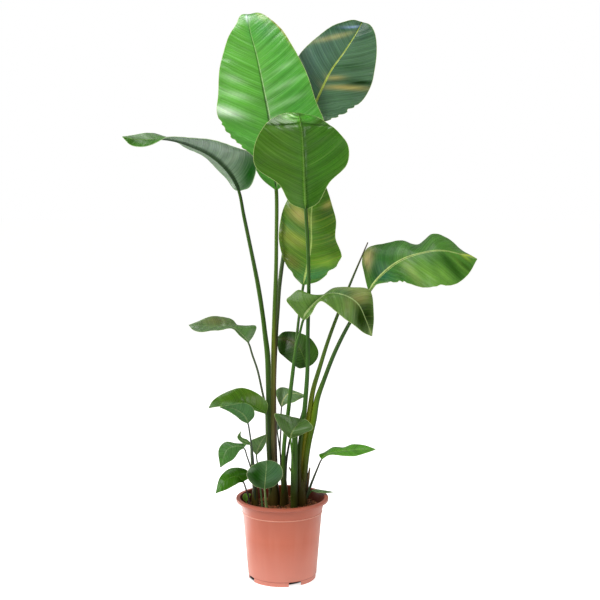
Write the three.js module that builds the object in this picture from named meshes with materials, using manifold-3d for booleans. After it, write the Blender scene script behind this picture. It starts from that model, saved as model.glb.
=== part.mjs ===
// A bird of paradise plant in its nursery pot: a terracotta-coloured pot, the potting mix that
// fills it, five clumps of fused leaf stalks, four thin single stalks, and one waved blade for
// each leaf.
// Millimetres, +Z up. Points in the tables are measured from the pot's axis at floor level, with
// +X to the right and -Y to the front. At the end the whole plant is moved so that its origin is
// at the bottom, in the middle of its overall box.

import * as THREE from 'three';
import { mergeVertices } from 'three/addons/utils/BufferGeometryUtils.js';
import Module from 'manifold-3d';

const wasm = await Module();
wasm.setup();

// ---------------------------------------------------------------- driving dimensions

const CLEARANCE = 0.3; // air between two pieces that touch on the real plant

const POT_HEIGHT = 211;
const POT_RIM_RADIUS = 120;
const POT_WALL = 2;
const POT_LIP_HEIGHT = 9;
const POT_LIP_WIDTH = 11;
const POT_LIP_ROUNDING = 2.5;
const POT_STEP_DROP = 37; // from the rim down to the thin step line
const POT_STEP_RADIUS = 103;
const POT_STEP_RELIEF = 1.2;
const POT_FOOT_RADIUS = 87;
const POT_FOOT_HEIGHT = 12;
const POT_FOOT_INSET = 2;
const POT_FLOOR_HEIGHT = 12.5; // underside of the raised floor
const POT_SEGMENTS = 44;
const NOTCH_COUNT = 4;
const NOTCH_WIDTH = 34;
const NOTCH_HEIGHT = 11.2;
const NOTCH_DEPTH = 20; // of the cut, well past both faces of the foot ring
const NOTCH_TURN = THREE.MathUtils.degToRad(-67); // the first notch, from +X

const SOIL_DEPTH = 27; // from the rim down to the soil
const SOIL_BUMP = 2.5; // the lumps' height, to which the flat border at the wall rises or falls
const SOIL_BORDER = 0.94; // where that border starts, as a share of the soil's radius
const SOIL_RINGS = 5;

const BURIED = 45; // how far a shoot reaches down into the soil, and a single stalk half of it
const CROWN_LEVELS = [-BURIED, -BURIED / 2, 8, 35, 70]; // above the soil
const CROWN_SHARES = [0.8, 1, 1, 0.8, 0.5]; // of the crown's radius at each level
const CROWN_SIDES = 16;
const STALK_ROOTING = 8; // how far a stalk reaches down inside its crown

// Rows run along a blade, and `across` lists its columns from the rib to the edge. The rib is a
// ridge on the underside, `ribHalf` wide each way at the base and `ribTip` at the tip.
const BIG_BLADE = {
  thickness: 1.3, rows: 14, across: [0.42, 0.74, 1], ribHalf: 5, ribTip: 1.2, ribDepth: 6.5,
};
const SMALL_BLADE = { thickness: 1, rows: 7, across: [0.6, 1], ribHalf: 2.4, ribTip: 0.9, ribDepth: 2.6 };
const RIB_SHOULDER = 1.25; // where the ridge runs out, in half rib widths
const RIB_TAPER = 0.8; // how much of the ridge's depth is gone at the tip
const BULGE = 0.22; // how far each half of a blade domes up, as a share of its width
const WAVE_START = { left: 0.3, right: 0.8 }; // so that the two edges don't wave together

// ---------------------------------------------------------------- curves

function point([x, y, z]) {
  return new THREE.Vector3(x, y, z);
}

// Points evenly spaced along a smooth curve through the given ones, between two of them.
function along(list, count, first = 0, last = list.length - 1) {
  const curve = new THREE.CatmullRomCurve3(list, false, 'centripetal');
  const fine = 240;
  const samples = [];
  const lengths = [0];
  for (let i = 0; i <= fine; i += 1) {
    const t = (first + ((last - first) * i) / fine) / (list.length - 1);
    samples.push(curve.getPoint(t));
    if (i > 0) lengths.push(lengths[i - 1] + samples[i].distanceTo(samples[i - 1]));
  }
  const points = [];
  let i = 1;
  for (let k = 0; k <= count; k += 1) {
    const wanted = (lengths[fine] * k) / count;
    while (i < fine && lengths[i] < wanted) i += 1;
    const part = (wanted - lengths[i - 1]) / (lengths[i] - lengths[i - 1]);
    points.push(samples[i - 1].clone().lerp(samples[i], part));
  }
  return points;
}

// The direction of a row of points at each of them.
function headings(points) {
  return points.map((_, i) => {
    const ahead = points[Math.min(i + 1, points.length - 1)];
    const behind = points[Math.max(i - 1, 0)];
    return ahead.clone().sub(behind).normalize();
  });
}

// ---------------------------------------------------------------- solids

function geometryOf(vertices, triangles) {
  const geometry = new THREE.BufferGeometry();
  const places = vertices.flatMap((vertex) => vertex.toArray());
  geometry.setAttribute('position', new THREE.Float32BufferAttribute(places, 3));
  geometry.setIndex(triangles.flat());
  return geometry;
}

function toManifold(geometry) {
  const bare = geometry.clone();
  bare.deleteAttribute('normal');
  bare.deleteAttribute('uv');
  const merged = mergeVertices(bare, 1e-4);
  return new wasm.Manifold(new wasm.Mesh({
    numProp: 3,
    vertProperties: Float32Array.from(merged.attributes.position.array),
    triVerts: Uint32Array.from(merged.index.array),
  }));
}

function fromManifold(manifold) {
  const mesh = manifold.getMesh();
  const geometry = new THREE.BufferGeometry();
  geometry.setAttribute('position', new THREE.BufferAttribute(mesh.vertProperties, 3));
  geometry.setIndex(new THREE.BufferAttribute(mesh.triVerts, 1));
  return geometry;
}

// A solid of revolution about the pot's axis, from its outline as [radius, height] pairs.
function turnedGeometry(outline, segments) {
  const profile = outline.map(([radius, z]) => new THREE.Vector2(radius, z));
  return new THREE.LatheGeometry(profile, segments).rotateX(Math.PI / 2);
}

// A round stalk through the given points, with a radius at each, closed at both ends. The last
// ring is square to `seat` where that is given.
function stalkGeometry(points, radii, sides, seat) {
  const heading = headings(points);
  if (seat) heading[points.length - 1] = seat;
  const vertices = [];
  const triangles = [];
  let side = new THREE.Vector3(1, 0, 0);
  points.forEach((centre, i) => {
    side = side.clone().addScaledVector(heading[i], -side.dot(heading[i])).normalize();
    const front = heading[i].clone().cross(side);
    const radius = radii[i];
    for (let k = 0; k < sides; k += 1) {
      const turn = (2 * Math.PI * k) / sides;
      const offset = side.clone().multiplyScalar(radius * Math.cos(turn));
      offset.addScaledVector(front, radius * Math.sin(turn));
      vertices.push(centre.clone().add(offset));
    }
  });
  const rings = points.length;
  for (let i = 0; i < rings - 1; i += 1) {
    for (let k = 0; k < sides; k += 1) {
      const a = i * sides + k;
      const b = i * sides + ((k + 1) % sides);
      triangles.push([a, b, b + sides], [a, b + sides, a + sides]);
    }
  }
  const top = (rings - 1) * sides;
  for (let k = 1; k < sides - 1; k += 1) {
    triangles.push([0, k + 1, k], [top, top + k, top + k + 1]);
  }
  return geometryOf(vertices, triangles);
}

// ---------------------------------------------------------------- pot

const rimTop = POT_HEIGHT;
const lipBottom = rimTop - POT_LIP_HEIGHT;
const collarRadius = POT_RIM_RADIUS - POT_LIP_WIDTH;
const stepZ = rimTop - POT_STEP_DROP;
const wallBottomRadius = POT_FOOT_RADIUS + POT_FOOT_INSET;
const floorTop = POT_FLOOR_HEIGHT + POT_WALL;

// The inside of the wall at a height: straight from the floor to the step and on to the lip.
function innerRadius(z) {
  if (z < stepZ) {
    const part = (z - floorTop) / (stepZ - floorTop);
    return THREE.MathUtils.lerp(wallBottomRadius, POT_STEP_RADIUS, part) - POT_WALL;
  }
  const part = (z - stepZ) / (lipBottom - stepZ);
  return THREE.MathUtils.lerp(POT_STEP_RADIUS, collarRadius, Math.min(part, 1)) - POT_WALL;
}

function potSolid() {
  const outline = [
    [0, POT_FLOOR_HEIGHT],
    [POT_FOOT_RADIUS - POT_WALL, POT_FLOOR_HEIGHT],
    [POT_FOOT_RADIUS - POT_WALL, 0],
    [POT_FOOT_RADIUS, 0],
    [POT_FOOT_RADIUS, POT_FOOT_HEIGHT - 1],
    [wallBottomRadius, POT_FOOT_HEIGHT],
    [POT_STEP_RADIUS, stepZ - POT_STEP_RELIEF],
    [POT_STEP_RADIUS + POT_STEP_RELIEF, stepZ],
    [POT_STEP_RADIUS + POT_STEP_RELIEF / 2, stepZ + POT_STEP_RELIEF],
    [collarRadius, lipBottom - POT_LIP_ROUNDING],
    [POT_RIM_RADIUS - POT_LIP_ROUNDING, lipBottom],
    [POT_RIM_RADIUS, lipBottom + POT_LIP_ROUNDING],
    [POT_RIM_RADIUS, rimTop - POT_LIP_ROUNDING],
    [POT_RIM_RADIUS - POT_LIP_ROUNDING, rimTop],
    [collarRadius + POT_LIP_ROUNDING, rimTop],
    [collarRadius, rimTop - 1],
    [innerRadius(lipBottom), lipBottom],
    [innerRadius(stepZ), stepZ],
    [innerRadius(floorTop), floorTop],
    [0, floorTop],
  ];
  let pot = toManifold(turnedGeometry(outline, POT_SEGMENTS));
  for (let k = 0; k < NOTCH_COUNT; k += 1) {
    const notch = new THREE.BoxGeometry(NOTCH_DEPTH, NOTCH_WIDTH, 2 * NOTCH_HEIGHT);
    notch.translate(POT_FOOT_RADIUS, 0, 0);
    notch.rotateZ(NOTCH_TURN + (2 * Math.PI * k) / NOTCH_COUNT);
    pot = pot.subtract(toManifold(notch));
  }
  return pot;
}

// ---------------------------------------------------------------- leaf blades

// Each leaf is drawn seen on its upper face with its tip up: `base` is where the stalk ends,
// `rib` and `tip` lead the midrib on, and `left` and `right` lead the two edges from base to tip.
const LEAVES = {
  tall_left: {
    base: [-15, 40, 1005], tip: [-93, 256, 1484], colour: '#4f9a35', size: BIG_BLADE, wave: 4, waves: 5,
    rib: [[-26, 50, 1096], [-33, 70, 1180], [-50, 96, 1268], [-70, 140, 1361], [-87, 176, 1424],
      [-94, 208, 1468]],
    left: [[-49, 40, 1034], [-85, 40, 1096], [-136, 45, 1149], [-163, 54, 1196], [-163, 78, 1249],
      [-160, 112, 1327], [-144, 150, 1399], [-124, 180, 1443], [-113, 215, 1474]],
    right: [[20, 45, 1029], [74, 50, 1096], [105, 58, 1165], [80, 85, 1244], [54, 110, 1324],
      [21, 140, 1385], [-4, 165, 1430], [-40, 195, 1464], [-70, 232, 1484]],
  },
  tall_right: {
    base: [35, 105, 1070], tip: [216, 262, 1464], colour: '#3d5f45', size: BIG_BLADE, wave: 4, waves: 6,
    rib: [[59, 110, 1161], [91, 130, 1241], [126, 155, 1316], [166, 185, 1375], [197, 215, 1425]],
    left: [[20, 120, 1136], [14, 150, 1256], [43, 175, 1358], [78, 190, 1397], [113, 205, 1430],
      [160, 228, 1457], [190, 246, 1467]],
    right: [[64, 95, 1096], [111, 100, 1180], [167, 125, 1209], [210, 145, 1245], [235, 168, 1289],
      [250, 195, 1379], [248, 215, 1422], [234, 240, 1454]],
  },
  centre_front: {
    base: [60, -60, 955], tip: [41, -18, 1195], colour: '#4a7a2a', size: BIG_BLADE, wave: 2, waves: 4,
    rib: [[56, -75, 1039], [53, -85, 1109], [50, -92, 1150], [47, -88, 1165]],
    left: [[86, -65, 970], [115, -70, 1020], [159, -70, 1066], [162, -70, 1110], [138, -70, 1144],
      [101, -42, 1175], [73, -24, 1188]],
    right: [[26, -65, 970], [-1, -70, 1015], [-60, -70, 1059], [-65, -75, 1100], [-48, -70, 1147],
      [-14, -40, 1184], [14, -24, 1194]],
  },
  hanging_left: {
    base: [-110, 20, 1000], tip: [-395, -44, 1134], colour: '#587a52', size: BIG_BLADE, wave: 2, waves: 4,
    rib: [[-129, 14, 1039], [-154, 6, 1069], [-184, 0, 1093], [-221, -6, 1111], [-258, -14, 1124],
      [-296, -26, 1130], [-335, -34, 1127], [-369, -40, 1129]],
    left: [[-86, 0, 1008], [-70, -20, 1038], [-67, -40, 1070], [-83, -54, 1094], [-115, -60, 1108],
      [-159, -62, 1120], [-208, -62, 1130], [-250, -60, 1133], [-285, -58, 1130], [-315, -58, 1117],
      [-344, -58, 1110], [-373, -52, 1114]],
    right: [[-123, 34, 1006], [-145, 56, 1035], [-182, 70, 1073], [-219, 70, 1100], [-256, 62, 1118],
      [-292, 40, 1135], [-316, 14, 1146], [-339, -4, 1145], [-369, -26, 1139]],
  },
  hanging_centre: {
    base: [55, 40, 760], tip: [90, 10, 1070], colour: '#5f8538', size: BIG_BLADE, wave: 3, waves: 5,
    rib: [[65, 40, 810], [75, 40, 865], [75, 30, 940]],
    left: [[35, 50, 780], [5, 60, 830], [-5, 60, 880], [0, 55, 935], [25, 40, 995]],
    right: [[90, 40, 770], [120, 40, 795], [150, 35, 825], [135, 30, 880], [135, 30, 930], [115, 20, 1000]],
  },
  large_right: {
    base: [225, 10, 745], tip: [490, -45, 830], colour: '#4c8040', size: BIG_BLADE, wave: 3, waves: 4,
    rib: [[260, 5, 790], [305, 0, 825], [360, -10, 845], [410, -20, 850]],
    left: [[215, 35, 785], [210, 50, 820], [225, 60, 850], [270, 70, 865], [310, 70, 870], [350, 65, 860],
      [390, 60, 890], [430, 45, 875], [460, 10, 850]],
    right: [[240, -15, 765], [290, -45, 775], [350, -70, 765], [420, -85, 770], [460, -75, 790]],
  },
  bent_middle: {
    base: [55, -55, 680], tip: [225, -75, 640], colour: '#5a7f3c', size: BIG_BLADE, wave: 1.5, waves: 3,
    rib: [[70, -60, 705], [95, -65, 730], [120, -60, 745], [160, -65, 740], [190, -70, 720], [210, -75, 680]],
    left: [[35, -50, 700], [15, -45, 725], [25, -45, 735], [45, -45, 750], [65, -50, 740], [90, -35, 730],
      [130, -20, 755], [180, -15, 755], [220, -25, 750], [230, -55, 690]],
    right: [[70, -70, 695], [95, -90, 730], [135, -105, 705], [175, -100, 675], [205, -85, 650]],
  },
  dark_middle: {
    base: [63, 40, 544], tip: [-15, 76, 616], colour: '#40602f', size: SMALL_BLADE, wave: 1.5, waves: 3,
    rib: [[54, 46, 573], [38, 56, 599], [14, 66, 613]],
    left: [[46, 44, 541], [25, 50, 555], [7, 56, 569], [-9, 66, 583]],
    right: [[76, 42, 550], [90, 45, 567], [92, 50, 584], [79, 58, 609], [62, 64, 623], [33, 70, 632],
      [1, 74, 631]],
  },
  left_middle: {
    base: [-86, -16, 616], tip: [-236, -28, 662], colour: '#5f7f55', size: SMALL_BLADE, wave: 1.5, waves: 3,
    rib: [[-104, -18, 638], [-126, -20, 656], [-178, -20, 658]],
    left: [[-102, -24, 632], [-126, -42, 654], [-166, -52, 652], [-200, -50, 648], [-224, -40, 652]],
    right: [[-74, -4, 632], [-68, 6, 654], [-94, 14, 656], [-116, 12, 658], [-128, 12, 670],
      [-172, 2, 682], [-212, -12, 670]],
  },
  low_left: {
    base: [-42, -12, 432], tip: [-184, -62, 456], colour: '#3d6b14', size: SMALL_BLADE, wave: 1, waves: 2,
    rib: [[-62, -20, 448], [-96, -34, 466], [-142, -50, 472]],
    left: [[-64, -34, 444], [-100, -56, 460], [-150, -68, 462]],
    right: [[-38, -8, 454], [-62, -8, 480], [-102, -14, 498], [-138, -26, 490], [-174, -50, 472]],
  },
  low_left_under: {
    base: [-86, -56, 416], tip: [-154, -84, 462], colour: '#4c7a50', size: SMALL_BLADE, wave: 1, waves: 2,
    rib: [[-96, -62, 438], [-120, -72, 456]],
    left: [[-100, -62, 424], [-114, -72, 438], [-134, -80, 452]],
    right: [[-72, -52, 432], [-74, -58, 454], [-92, -68, 468], [-130, -80, 466]],
  },
  low_centre: {
    base: [-2, 38, 440], tip: [62, 44, 468], colour: '#66886a', size: SMALL_BLADE, wave: 1, waves: 2,
    rib: [[4, 42, 460], [18, 44, 474]],
    left: [[-11, 50, 456], [-16, 59, 476], [-4, 58, 486], [28, 54, 480]],
    right: [[10, 38, 448], [30, 36, 454], [52, 38, 464]],
  },
  low_front: {
    base: [22, -32, 372], tip: [50, -15, 417], colour: '#3f6b34', size: SMALL_BLADE, wave: 1, waves: 2,
    rib: [[26, -42, 390], [37, -32, 404]],
    left: [[8, -40, 386], [-8, -50, 412], [-18, -52, 437], [2, -44, 436], [27, -32, 427], [42, -20, 421]],
    right: [[40, -38, 380], [58, -46, 390], [78, -50, 402], [68, -36, 415], [58, -22, 420]],
  },
  grey_behind: {
    base: [-14, 56, 374], tip: [-12, 64, 404], colour: '#6d8a78', size: SMALL_BLADE, wave: 0.5, waves: 1,
    rib: [[-14, 60, 386]],
    left: [[-22, 58, 382], [-22, 62, 394]],
    right: [[-4, 58, 382], [-2, 62, 394]],
  },
  drooping_young: {
    base: [-98, -30, 346], tip: [-156, -58, 302], colour: '#447534', size: SMALL_BLADE, wave: 1, waves: 2,
    rib: [[-118, -36, 352], [-140, -44, 344]],
    left: [[-108, -38, 342], [-124, -48, 322], [-142, -56, 312]],
    right: [[-92, -24, 352], [-118, -20, 354], [-144, -26, 360], [-160, -42, 344]],
  },
  rolled_young: {
    base: [-82, -12, 352], tip: [-106, -20, 387], colour: '#4d7040', size: SMALL_BLADE, wave: 0.4, waves: 1,
    rib: [[-92, -16, 358], [-103, -20, 364], [-110, -21, 374]],
    left: [[-89, -20, 353], [-101, -25, 359], [-114, -26, 373]],
    right: [[-89, -11, 361], [-101, -14, 367], [-107, -17, 374]],
  },
  twisted_young: {
    base: [-66, -16, 326], tip: [-40, -14, 378], colour: '#4b7048', size: SMALL_BLADE, wave: 0.6, waves: 1,
    rib: [[-60, -18, 346], [-52, -18, 362]],
    left: [[-76, -16, 340], [-80, -18, 360], [-62, -18, 370]],
    right: [[-54, -14, 338], [-42, -14, 360]],
  },
  bottom_left: {
    base: [-100, -24, 256], tip: [-168, -60, 236], colour: '#3c7324', size: SMALL_BLADE, wave: 1, waves: 2,
    rib: [[-116, -30, 272], [-140, -44, 268]],
    left: [[-110, -38, 259], [-122, -48, 254], [-140, -56, 246]],
    right: [[-89, -17, 262], [-86, -11, 275], [-104, -8, 286], [-134, -16, 288], [-158, -38, 270]],
  },
  round_front: {
    base: [-44, -58, 248], tip: [-40, -48, 318], colour: '#2f6420', size: SMALL_BLADE, wave: 0.8, waves: 2,
    rib: [[-42, -66, 272], [-40, -62, 294]],
    left: [[-68, -56, 254], [-88, -56, 282], [-80, -52, 300], [-58, -46, 313]],
    right: [[-22, -56, 254], [0, -56, 280], [-4, -52, 304], [-24, -46, 316]],
  },
  low_right: {
    base: [102, -4, 310], tip: [240, -28, 342], colour: '#4f8536', size: SMALL_BLADE, wave: 1.2, waves: 2,
    rib: [[120, -8, 326], [166, -16, 336]],
    left: [[96, 6, 318], [108, 18, 322], [132, 20, 336], [160, 14, 336], [182, 10, 346], [208, -4, 348]],
    right: [[122, -26, 326], [160, -44, 330], [188, -50, 330], [220, -42, 338]],
  },
  over_rim: {
    base: [78, 26, 219], tip: [133, 20, 217], colour: '#3d5a28', size: SMALL_BLADE, wave: 0.5, waves: 1,
    rib: [[98, 24, 219], [116, 22, 218]],
    left: [[90, 34, 220], [114, 31, 218]],
    right: [[90, 15, 218], [114, 13, 217]],
  },
  sprout: {
    base: [-94, -4, 200], tip: [-82, -12, 221], colour: '#6f9a4a', size: SMALL_BLADE, wave: 0.4, waves: 1,
    rib: [[-95, -8, 212]],
    left: [[-101, -6, 208], [-98, -8, 219]],
    right: [[-89, -10, 206], [-84, -12, 215]],
  },
};

// The direction in which a stalk ends and its leaf begins.
function seatOf(leaf, stalkBefore) {
  return point(leaf.rib[0]).sub(stalkBefore).normalize();
}

// One half of a blade's row, from the rib out to the edge: how far out each column lies, and its
// place on the middle layer of the blade.
function halfRow(leaf, row, edge, sign, start) {
  const { across, ribDepth } = leaf.size;
  const reach = row.first ? new THREE.Vector3() : edge.clone().sub(row.rib);
  reach.addScaledVector(row.span, sign * row.ribWidth);
  const width = reach.length();
  const shoulder = Math.min(across[0] / 2, (RIB_SHOULDER * row.ribWidth) / width);
  const envelope = Math.sin(Math.PI * row.u);
  const swing = leaf.wave * envelope * Math.sin(2 * Math.PI * (leaf.waves * row.u + start));
  const lift = 0.5 * ribDepth * (1 - row.u) ** 4;
  return [0, shoulder, ...across].map((v) => {
    const rise = BULGE * width * envelope * v * (1 - v) + swing * v * v + lift;
    return { v, place: row.rib.clone().addScaledVector(reach, v).addScaledVector(row.face, rise) };
  });
}

// The two layers of triangles of a blade, split alike, and the border that closes them.
function bladeTriangles(rows, width) {
  const count = (rows + 1) * width;
  const triangles = [];
  for (let i = 0; i < rows; i += 1) {
    for (let k = 0; k < width - 1; k += 1) {
      const a = i * width + k;
      const [b, c, d] = [a + 1, a + width, a + width + 1];
      triangles.push([a, b, d], [a, d, c]);
      triangles.push([count + a, count + d, count + b], [count + a, count + c, count + d]);
    }
  }
  const border = [];
  for (let k = 0; k < width - 1; k += 1) border.push(k);
  for (let i = 0; i < rows; i += 1) border.push(i * width + width - 1);
  for (let k = width - 1; k > 0; k -= 1) border.push(rows * width + k);
  for (let i = rows; i > 0; i -= 1) border.push(i * width);
  border.forEach((a, i) => {
    const b = border[(i + 1) % border.length];
    triangles.push([a, count + b, b], [a, count + a, count + b]);
  });
  return triangles;
}

// A thin waved blade between its two edges, with the rib as a ridge on its underside.
function bladeGeometry(leaf, stalkBefore) {
  const { thickness, rows, across, ribHalf, ribTip, ribDepth } = leaf.size;
  const base = point(leaf.base);
  const tip = point(leaf.tip);
  const rib = along([stalkBefore, base, ...leaf.rib.map(point), tip], rows, 1);
  const left = along([base, ...leaf.left.map(point), tip], rows);
  const right = along([base, ...leaf.right.map(point), tip], rows);
  const heading = headings(rib);
  heading[0] = seatOf(leaf, stalkBefore);
  rib[0].addScaledVector(heading[0], CLEARANCE);
  const upper = [];
  const lower = [];
  for (let i = 0; i <= rows; i += 1) {
    const u = i / rows;
    const near = Math.min(Math.max(i, 1), rows - 1);
    const span = right[near].clone().sub(left[near]);
    span.addScaledVector(heading[i], -span.dot(heading[i])).normalize();
    const face = span.clone().cross(heading[i]);
    const ribWidth = THREE.MathUtils.lerp(ribHalf, ribTip, u);
    const row = { u, first: i === 0, rib: rib[i], span, face, ribWidth };
    const leftHalf = halfRow(leaf, row, left[i], -1, WAVE_START.left);
    const rightHalf = halfRow(leaf, row, right[i], 1, WAVE_START.right);
    [...leftHalf.reverse(), ...rightHalf.slice(1)].forEach(({ v, place }) => {
      const ridge = v === 0 ? ribDepth * (1 - RIB_TAPER * u) : 0;
      upper.push(place.clone().addScaledVector(face, thickness / 2));
      lower.push(place.clone().addScaledVector(face, -thickness / 2 - ridge));
    });
  }
  const width = 2 * (across.length + 1) + 1;
  return geometryOf([...upper, ...lower], bladeTriangles(rows, width));
}

// ---------------------------------------------------------------- stalks

// Each stalk runs from the leaf it carries down to its crown, through points that each carry a
// radius as their fourth number. The stalk without a leaf is a spear, a leaf still rolled up, and
// the short ones are the tips of old sheaths.
const THICK = { sides: 8, steps: 12 };
const THIN = { sides: 6, steps: 7 };
const SHORT = { sides: 6, steps: 4 };

const SHOOTS = {
  shoot_left: {
    crown: { at: [-22, 24], radius: 16 },
    colour: '#4a5520',
    stalks: [
      { leaf: 'tall_left', end: 4.4, form: THICK, foot: [-19, 24, 6.5],
        path: [[-15, 38, 876, 4.6], [-16, 37, 798, 4.8], [-20, 32, 682, 5.5], [-22, 30, 617, 5.9],
          [-23, 28, 552, 6.6], [-24, 27, 486, 6.4], [-24, 25, 328, 6]] },
      { leaf: 'tall_right', end: 4.4, form: THICK, foot: [-17, 31, 6.5],
        path: [[18, 96, 940, 4.6], [-3, 80, 795, 5], [-9, 72, 743, 5], [-12, 64, 692, 5], [-16, 54, 640, 5.2],
          [-20, 45, 560, 5.4], [-22, 38, 460, 5.6]] },
      { leaf: 'hanging_left', end: 3.8, form: THICK, foot: [-27, 22, 6.5],
        path: [[-98, 20, 940, 4.2], [-62, 16, 761, 5.2], [-50, 16, 683, 5.5], [-44, 15, 632, 6],
          [-38, 14, 580, 6.6], [-36, 14, 488, 6.2], [-35, 16, 330, 6]] },
      { leaf: 'left_middle', end: 2.2, form: THIN, foot: [-30, 20, 3],
        path: [[-76, -12, 584, 2.4], [-63, -8, 544, 2.6], [-52, -4, 492, 2.7], [-42, 0, 439, 2.7],
          [-40, 6, 370, 2.9]] },
      { leaf: 'low_left', end: 2.4, form: THIN, foot: [-29, 18, 3.5],
        path: [[-39, -6, 401, 2.8], [-38, 0, 360, 3.2], [-34, 10, 278, 3.5]] },
    ],
  },
  shoot_middle: {
    crown: { at: [5, 11], radius: 11 },
    colour: '#3f5a22',
    stalks: [
      { leaf: 'hanging_centre', end: 3.2, form: THICK, foot: [4, 13, 5],
        path: [[44, 34, 682, 3.3], [34, 20, 592, 3.6], [27, 6, 530, 4.6], [16, 8, 438, 4.6],
          [5, 11, 345, 5]] },
      { leaf: 'bent_middle', end: 2.8, form: THICK, foot: [4, 8, 5.5],
        path: [[46, -48, 646, 3], [38, -38, 614, 3.9], [31, -22, 568, 4.2], [23, -8, 500, 4.8],
          [14, 2, 419, 4.8], [4, 6, 332, 5.2]] },
      { leaf: 'dark_middle', end: 2, form: { sides: 6, steps: 10 }, foot: [7, 13, 3],
        path: [[62, 26, 487, 2.2], [57, 24, 448, 2.3], [48, 20, 414, 2.4], [34, 18, 384, 2.5],
          [21, 16, 360, 2.5], [15, 14, 331, 2.6], [10, 13, 297, 3]] },
      { leaf: 'low_centre', end: 1.6, form: THIN, foot: [2, 14, 2.6],
        path: [[-4, 32, 380, 1.8], [-6, 28, 340, 1.9], [-4, 20, 290, 2.2]] },
      { leaf: 'grey_behind', end: 1.6, form: THIN, foot: [3, 17, 2.6],
        path: [[-12, 50, 358, 1.7], [-8, 40, 332, 1.8], [-4, 30, 306, 2]] },
    ],
  },
  shoot_front: {
    colour: '#3a5a18',
    stalks: [
      { tip: [33, -12, 398], end: 5, form: { sides: 8, steps: 5 }, foot: [31, -15, 8.6],
        path: [[33, -13, 376, 6.8], [32, -14, 330, 7.8], [31, -15, 270, 8.4]] },
      { leaf: 'low_front', end: 2, form: THIN, foot: [31, -18, 3],
        path: [[24, -30, 348, 2.2], [27, -25, 314, 2.6], [30, -20, 268, 3]] },
    ],
  },
  shoot_right: {
    crown: { at: [50, 12], radius: 15 },
    colour: '#4d5c14',
    stalks: [
      { leaf: 'centre_front', end: 4, form: THICK, foot: [44, 10, 7],
        path: [[66, -50, 854, 4.2], [68, -38, 752, 4.4], [66, -24, 650, 4.6], [65, -10, 544, 4.9],
          [61, -1, 478, 5.4], [55, 2, 412, 5.8], [46, 5, 340, 6.2], [43, 7, 280, 6.8]] },
      { leaf: 'large_right', end: 3.4, form: THICK, foot: [54, 12, 7.6],
        path: [[174, 10, 664, 4.4], [136, 10, 588, 4.8], [108, 12, 515, 5.4], [90, 12, 463, 6.8],
          [81, 12, 410, 7.5], [67, 12, 345, 7.6], [57, 12, 264, 7.6]] },
      { tip: [220, 22, 870], end: 1.4, form: THICK, foot: [49, 13, 7],
        path: [[172, 20, 756, 3], [124, 20, 632, 4.4], [95, 18, 540, 5.3], [80, 18, 488, 5.8],
          [68, 16, 412, 6.4], [58, 15, 345, 6.4], [51, 14, 264, 6.8]] },
      { leaf: 'low_right', end: 1.8, form: THIN, foot: [58, 10, 3],
        path: [[92, -4, 288, 2.2], [82, 0, 262, 2.6], [74, 4, 240, 3]] },
      { leaf: 'over_rim', end: 2, form: SHORT, foot: [57, 16, 3], path: [[70, 24, 212, 2.4]] },
      { tip: [17, 19, 284], end: 1.4, form: SHORT, foot: [44, 15, 5], path: [[30, 17, 262, 4]] },
      { tip: [72, 15, 284], end: 1.4, form: SHORT, foot: [58, 15, 5], path: [[67, 15, 256, 4]] },
    ],
  },
  shoot_young: {
    crown: { at: [-71, -1], radius: 9 },
    colour: '#3c5420',
    stalks: [
      { leaf: 'rolled_young', end: 2.6, form: { sides: 8, steps: 5 }, foot: [-70, 0, 5.5],
        path: [[-78, -8, 322, 4], [-76, -6, 288, 4.8], [-72, -2, 242, 5.4]] },
      { leaf: 'low_left_under', end: 1.8, form: THIN, foot: [-70, -4, 3],
        path: [[-82, -50, 392, 1.9], [-78, -40, 356, 2.1], [-74, -24, 300, 2.4], [-72, -12, 244, 2.8]] },
      { leaf: 'drooping_young', end: 1.6, form: THIN, foot: [-72, 0, 2.6],
        path: [[-90, -24, 322, 1.7], [-82, -20, 296, 1.9], [-76, -10, 252, 2.2]] },
    ],
  },
  stalk_twisted_young: {
    colour: '#44542a',
    stalks: [{ leaf: 'twisted_young', end: 1.6, form: SHORT, foot: [-52, -4, 2.4],
      path: [[-64, -12, 302, 1.8], [-58, -6, 250, 2.1]] }],
  },
  stalk_bottom_left: {
    colour: '#3f5030',
    stalks: [{ leaf: 'bottom_left', end: 1.8, form: SHORT, foot: [-84, -15, 2.4],
      path: [[-94, -20, 238, 2], [-88, -16, 218, 2.2]] }],
  },
  stalk_round_front: {
    colour: '#33501c',
    stalks: [{ leaf: 'round_front', end: 2, form: SHORT, foot: [-40, -34, 3.2],
      path: [[-43, -50, 234, 2.4]] }],
  },
  stalk_sprout: {
    colour: '#5f7a3c',
    stalks: [{ leaf: 'sprout', end: 1.4, form: { sides: 6, steps: 2 }, foot: [-91, -1, 1.8],
      path: [[-93, -3, 192, 1.6]] }],
  },
};

const soilTop = POT_HEIGHT - SOIL_DEPTH;

// A stalk's points from its foot, just above the soil, to its top, and the radius at each.
function stalkCourse(stalk) {
  const [x, y, radius] = stalk.foot;
  const top = stalk.leaf ? LEAVES[stalk.leaf].base : stalk.tip;
  return [[x, y, soilTop + STALK_ROOTING / 2, radius], ...[...stalk.path].reverse(), [...top, stalk.end]];
}

// The radius at a place on a stalk, from the two points of its course that it lies between.
function radiusNear(place, course) {
  let nearest = Infinity;
  let radius = 0;
  for (let i = 0; i < course.length - 1; i += 1) {
    const line = new THREE.Line3(point(course[i]), point(course[i + 1]));
    const part = line.closestPointToPointParameter(place, true);
    const distance = line.at(part, new THREE.Vector3()).distanceTo(place);
    if (distance < nearest) {
      nearest = distance;
      radius = THREE.MathUtils.lerp(course[i][3], course[i + 1][3], part);
    }
  }
  return radius;
}

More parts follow.
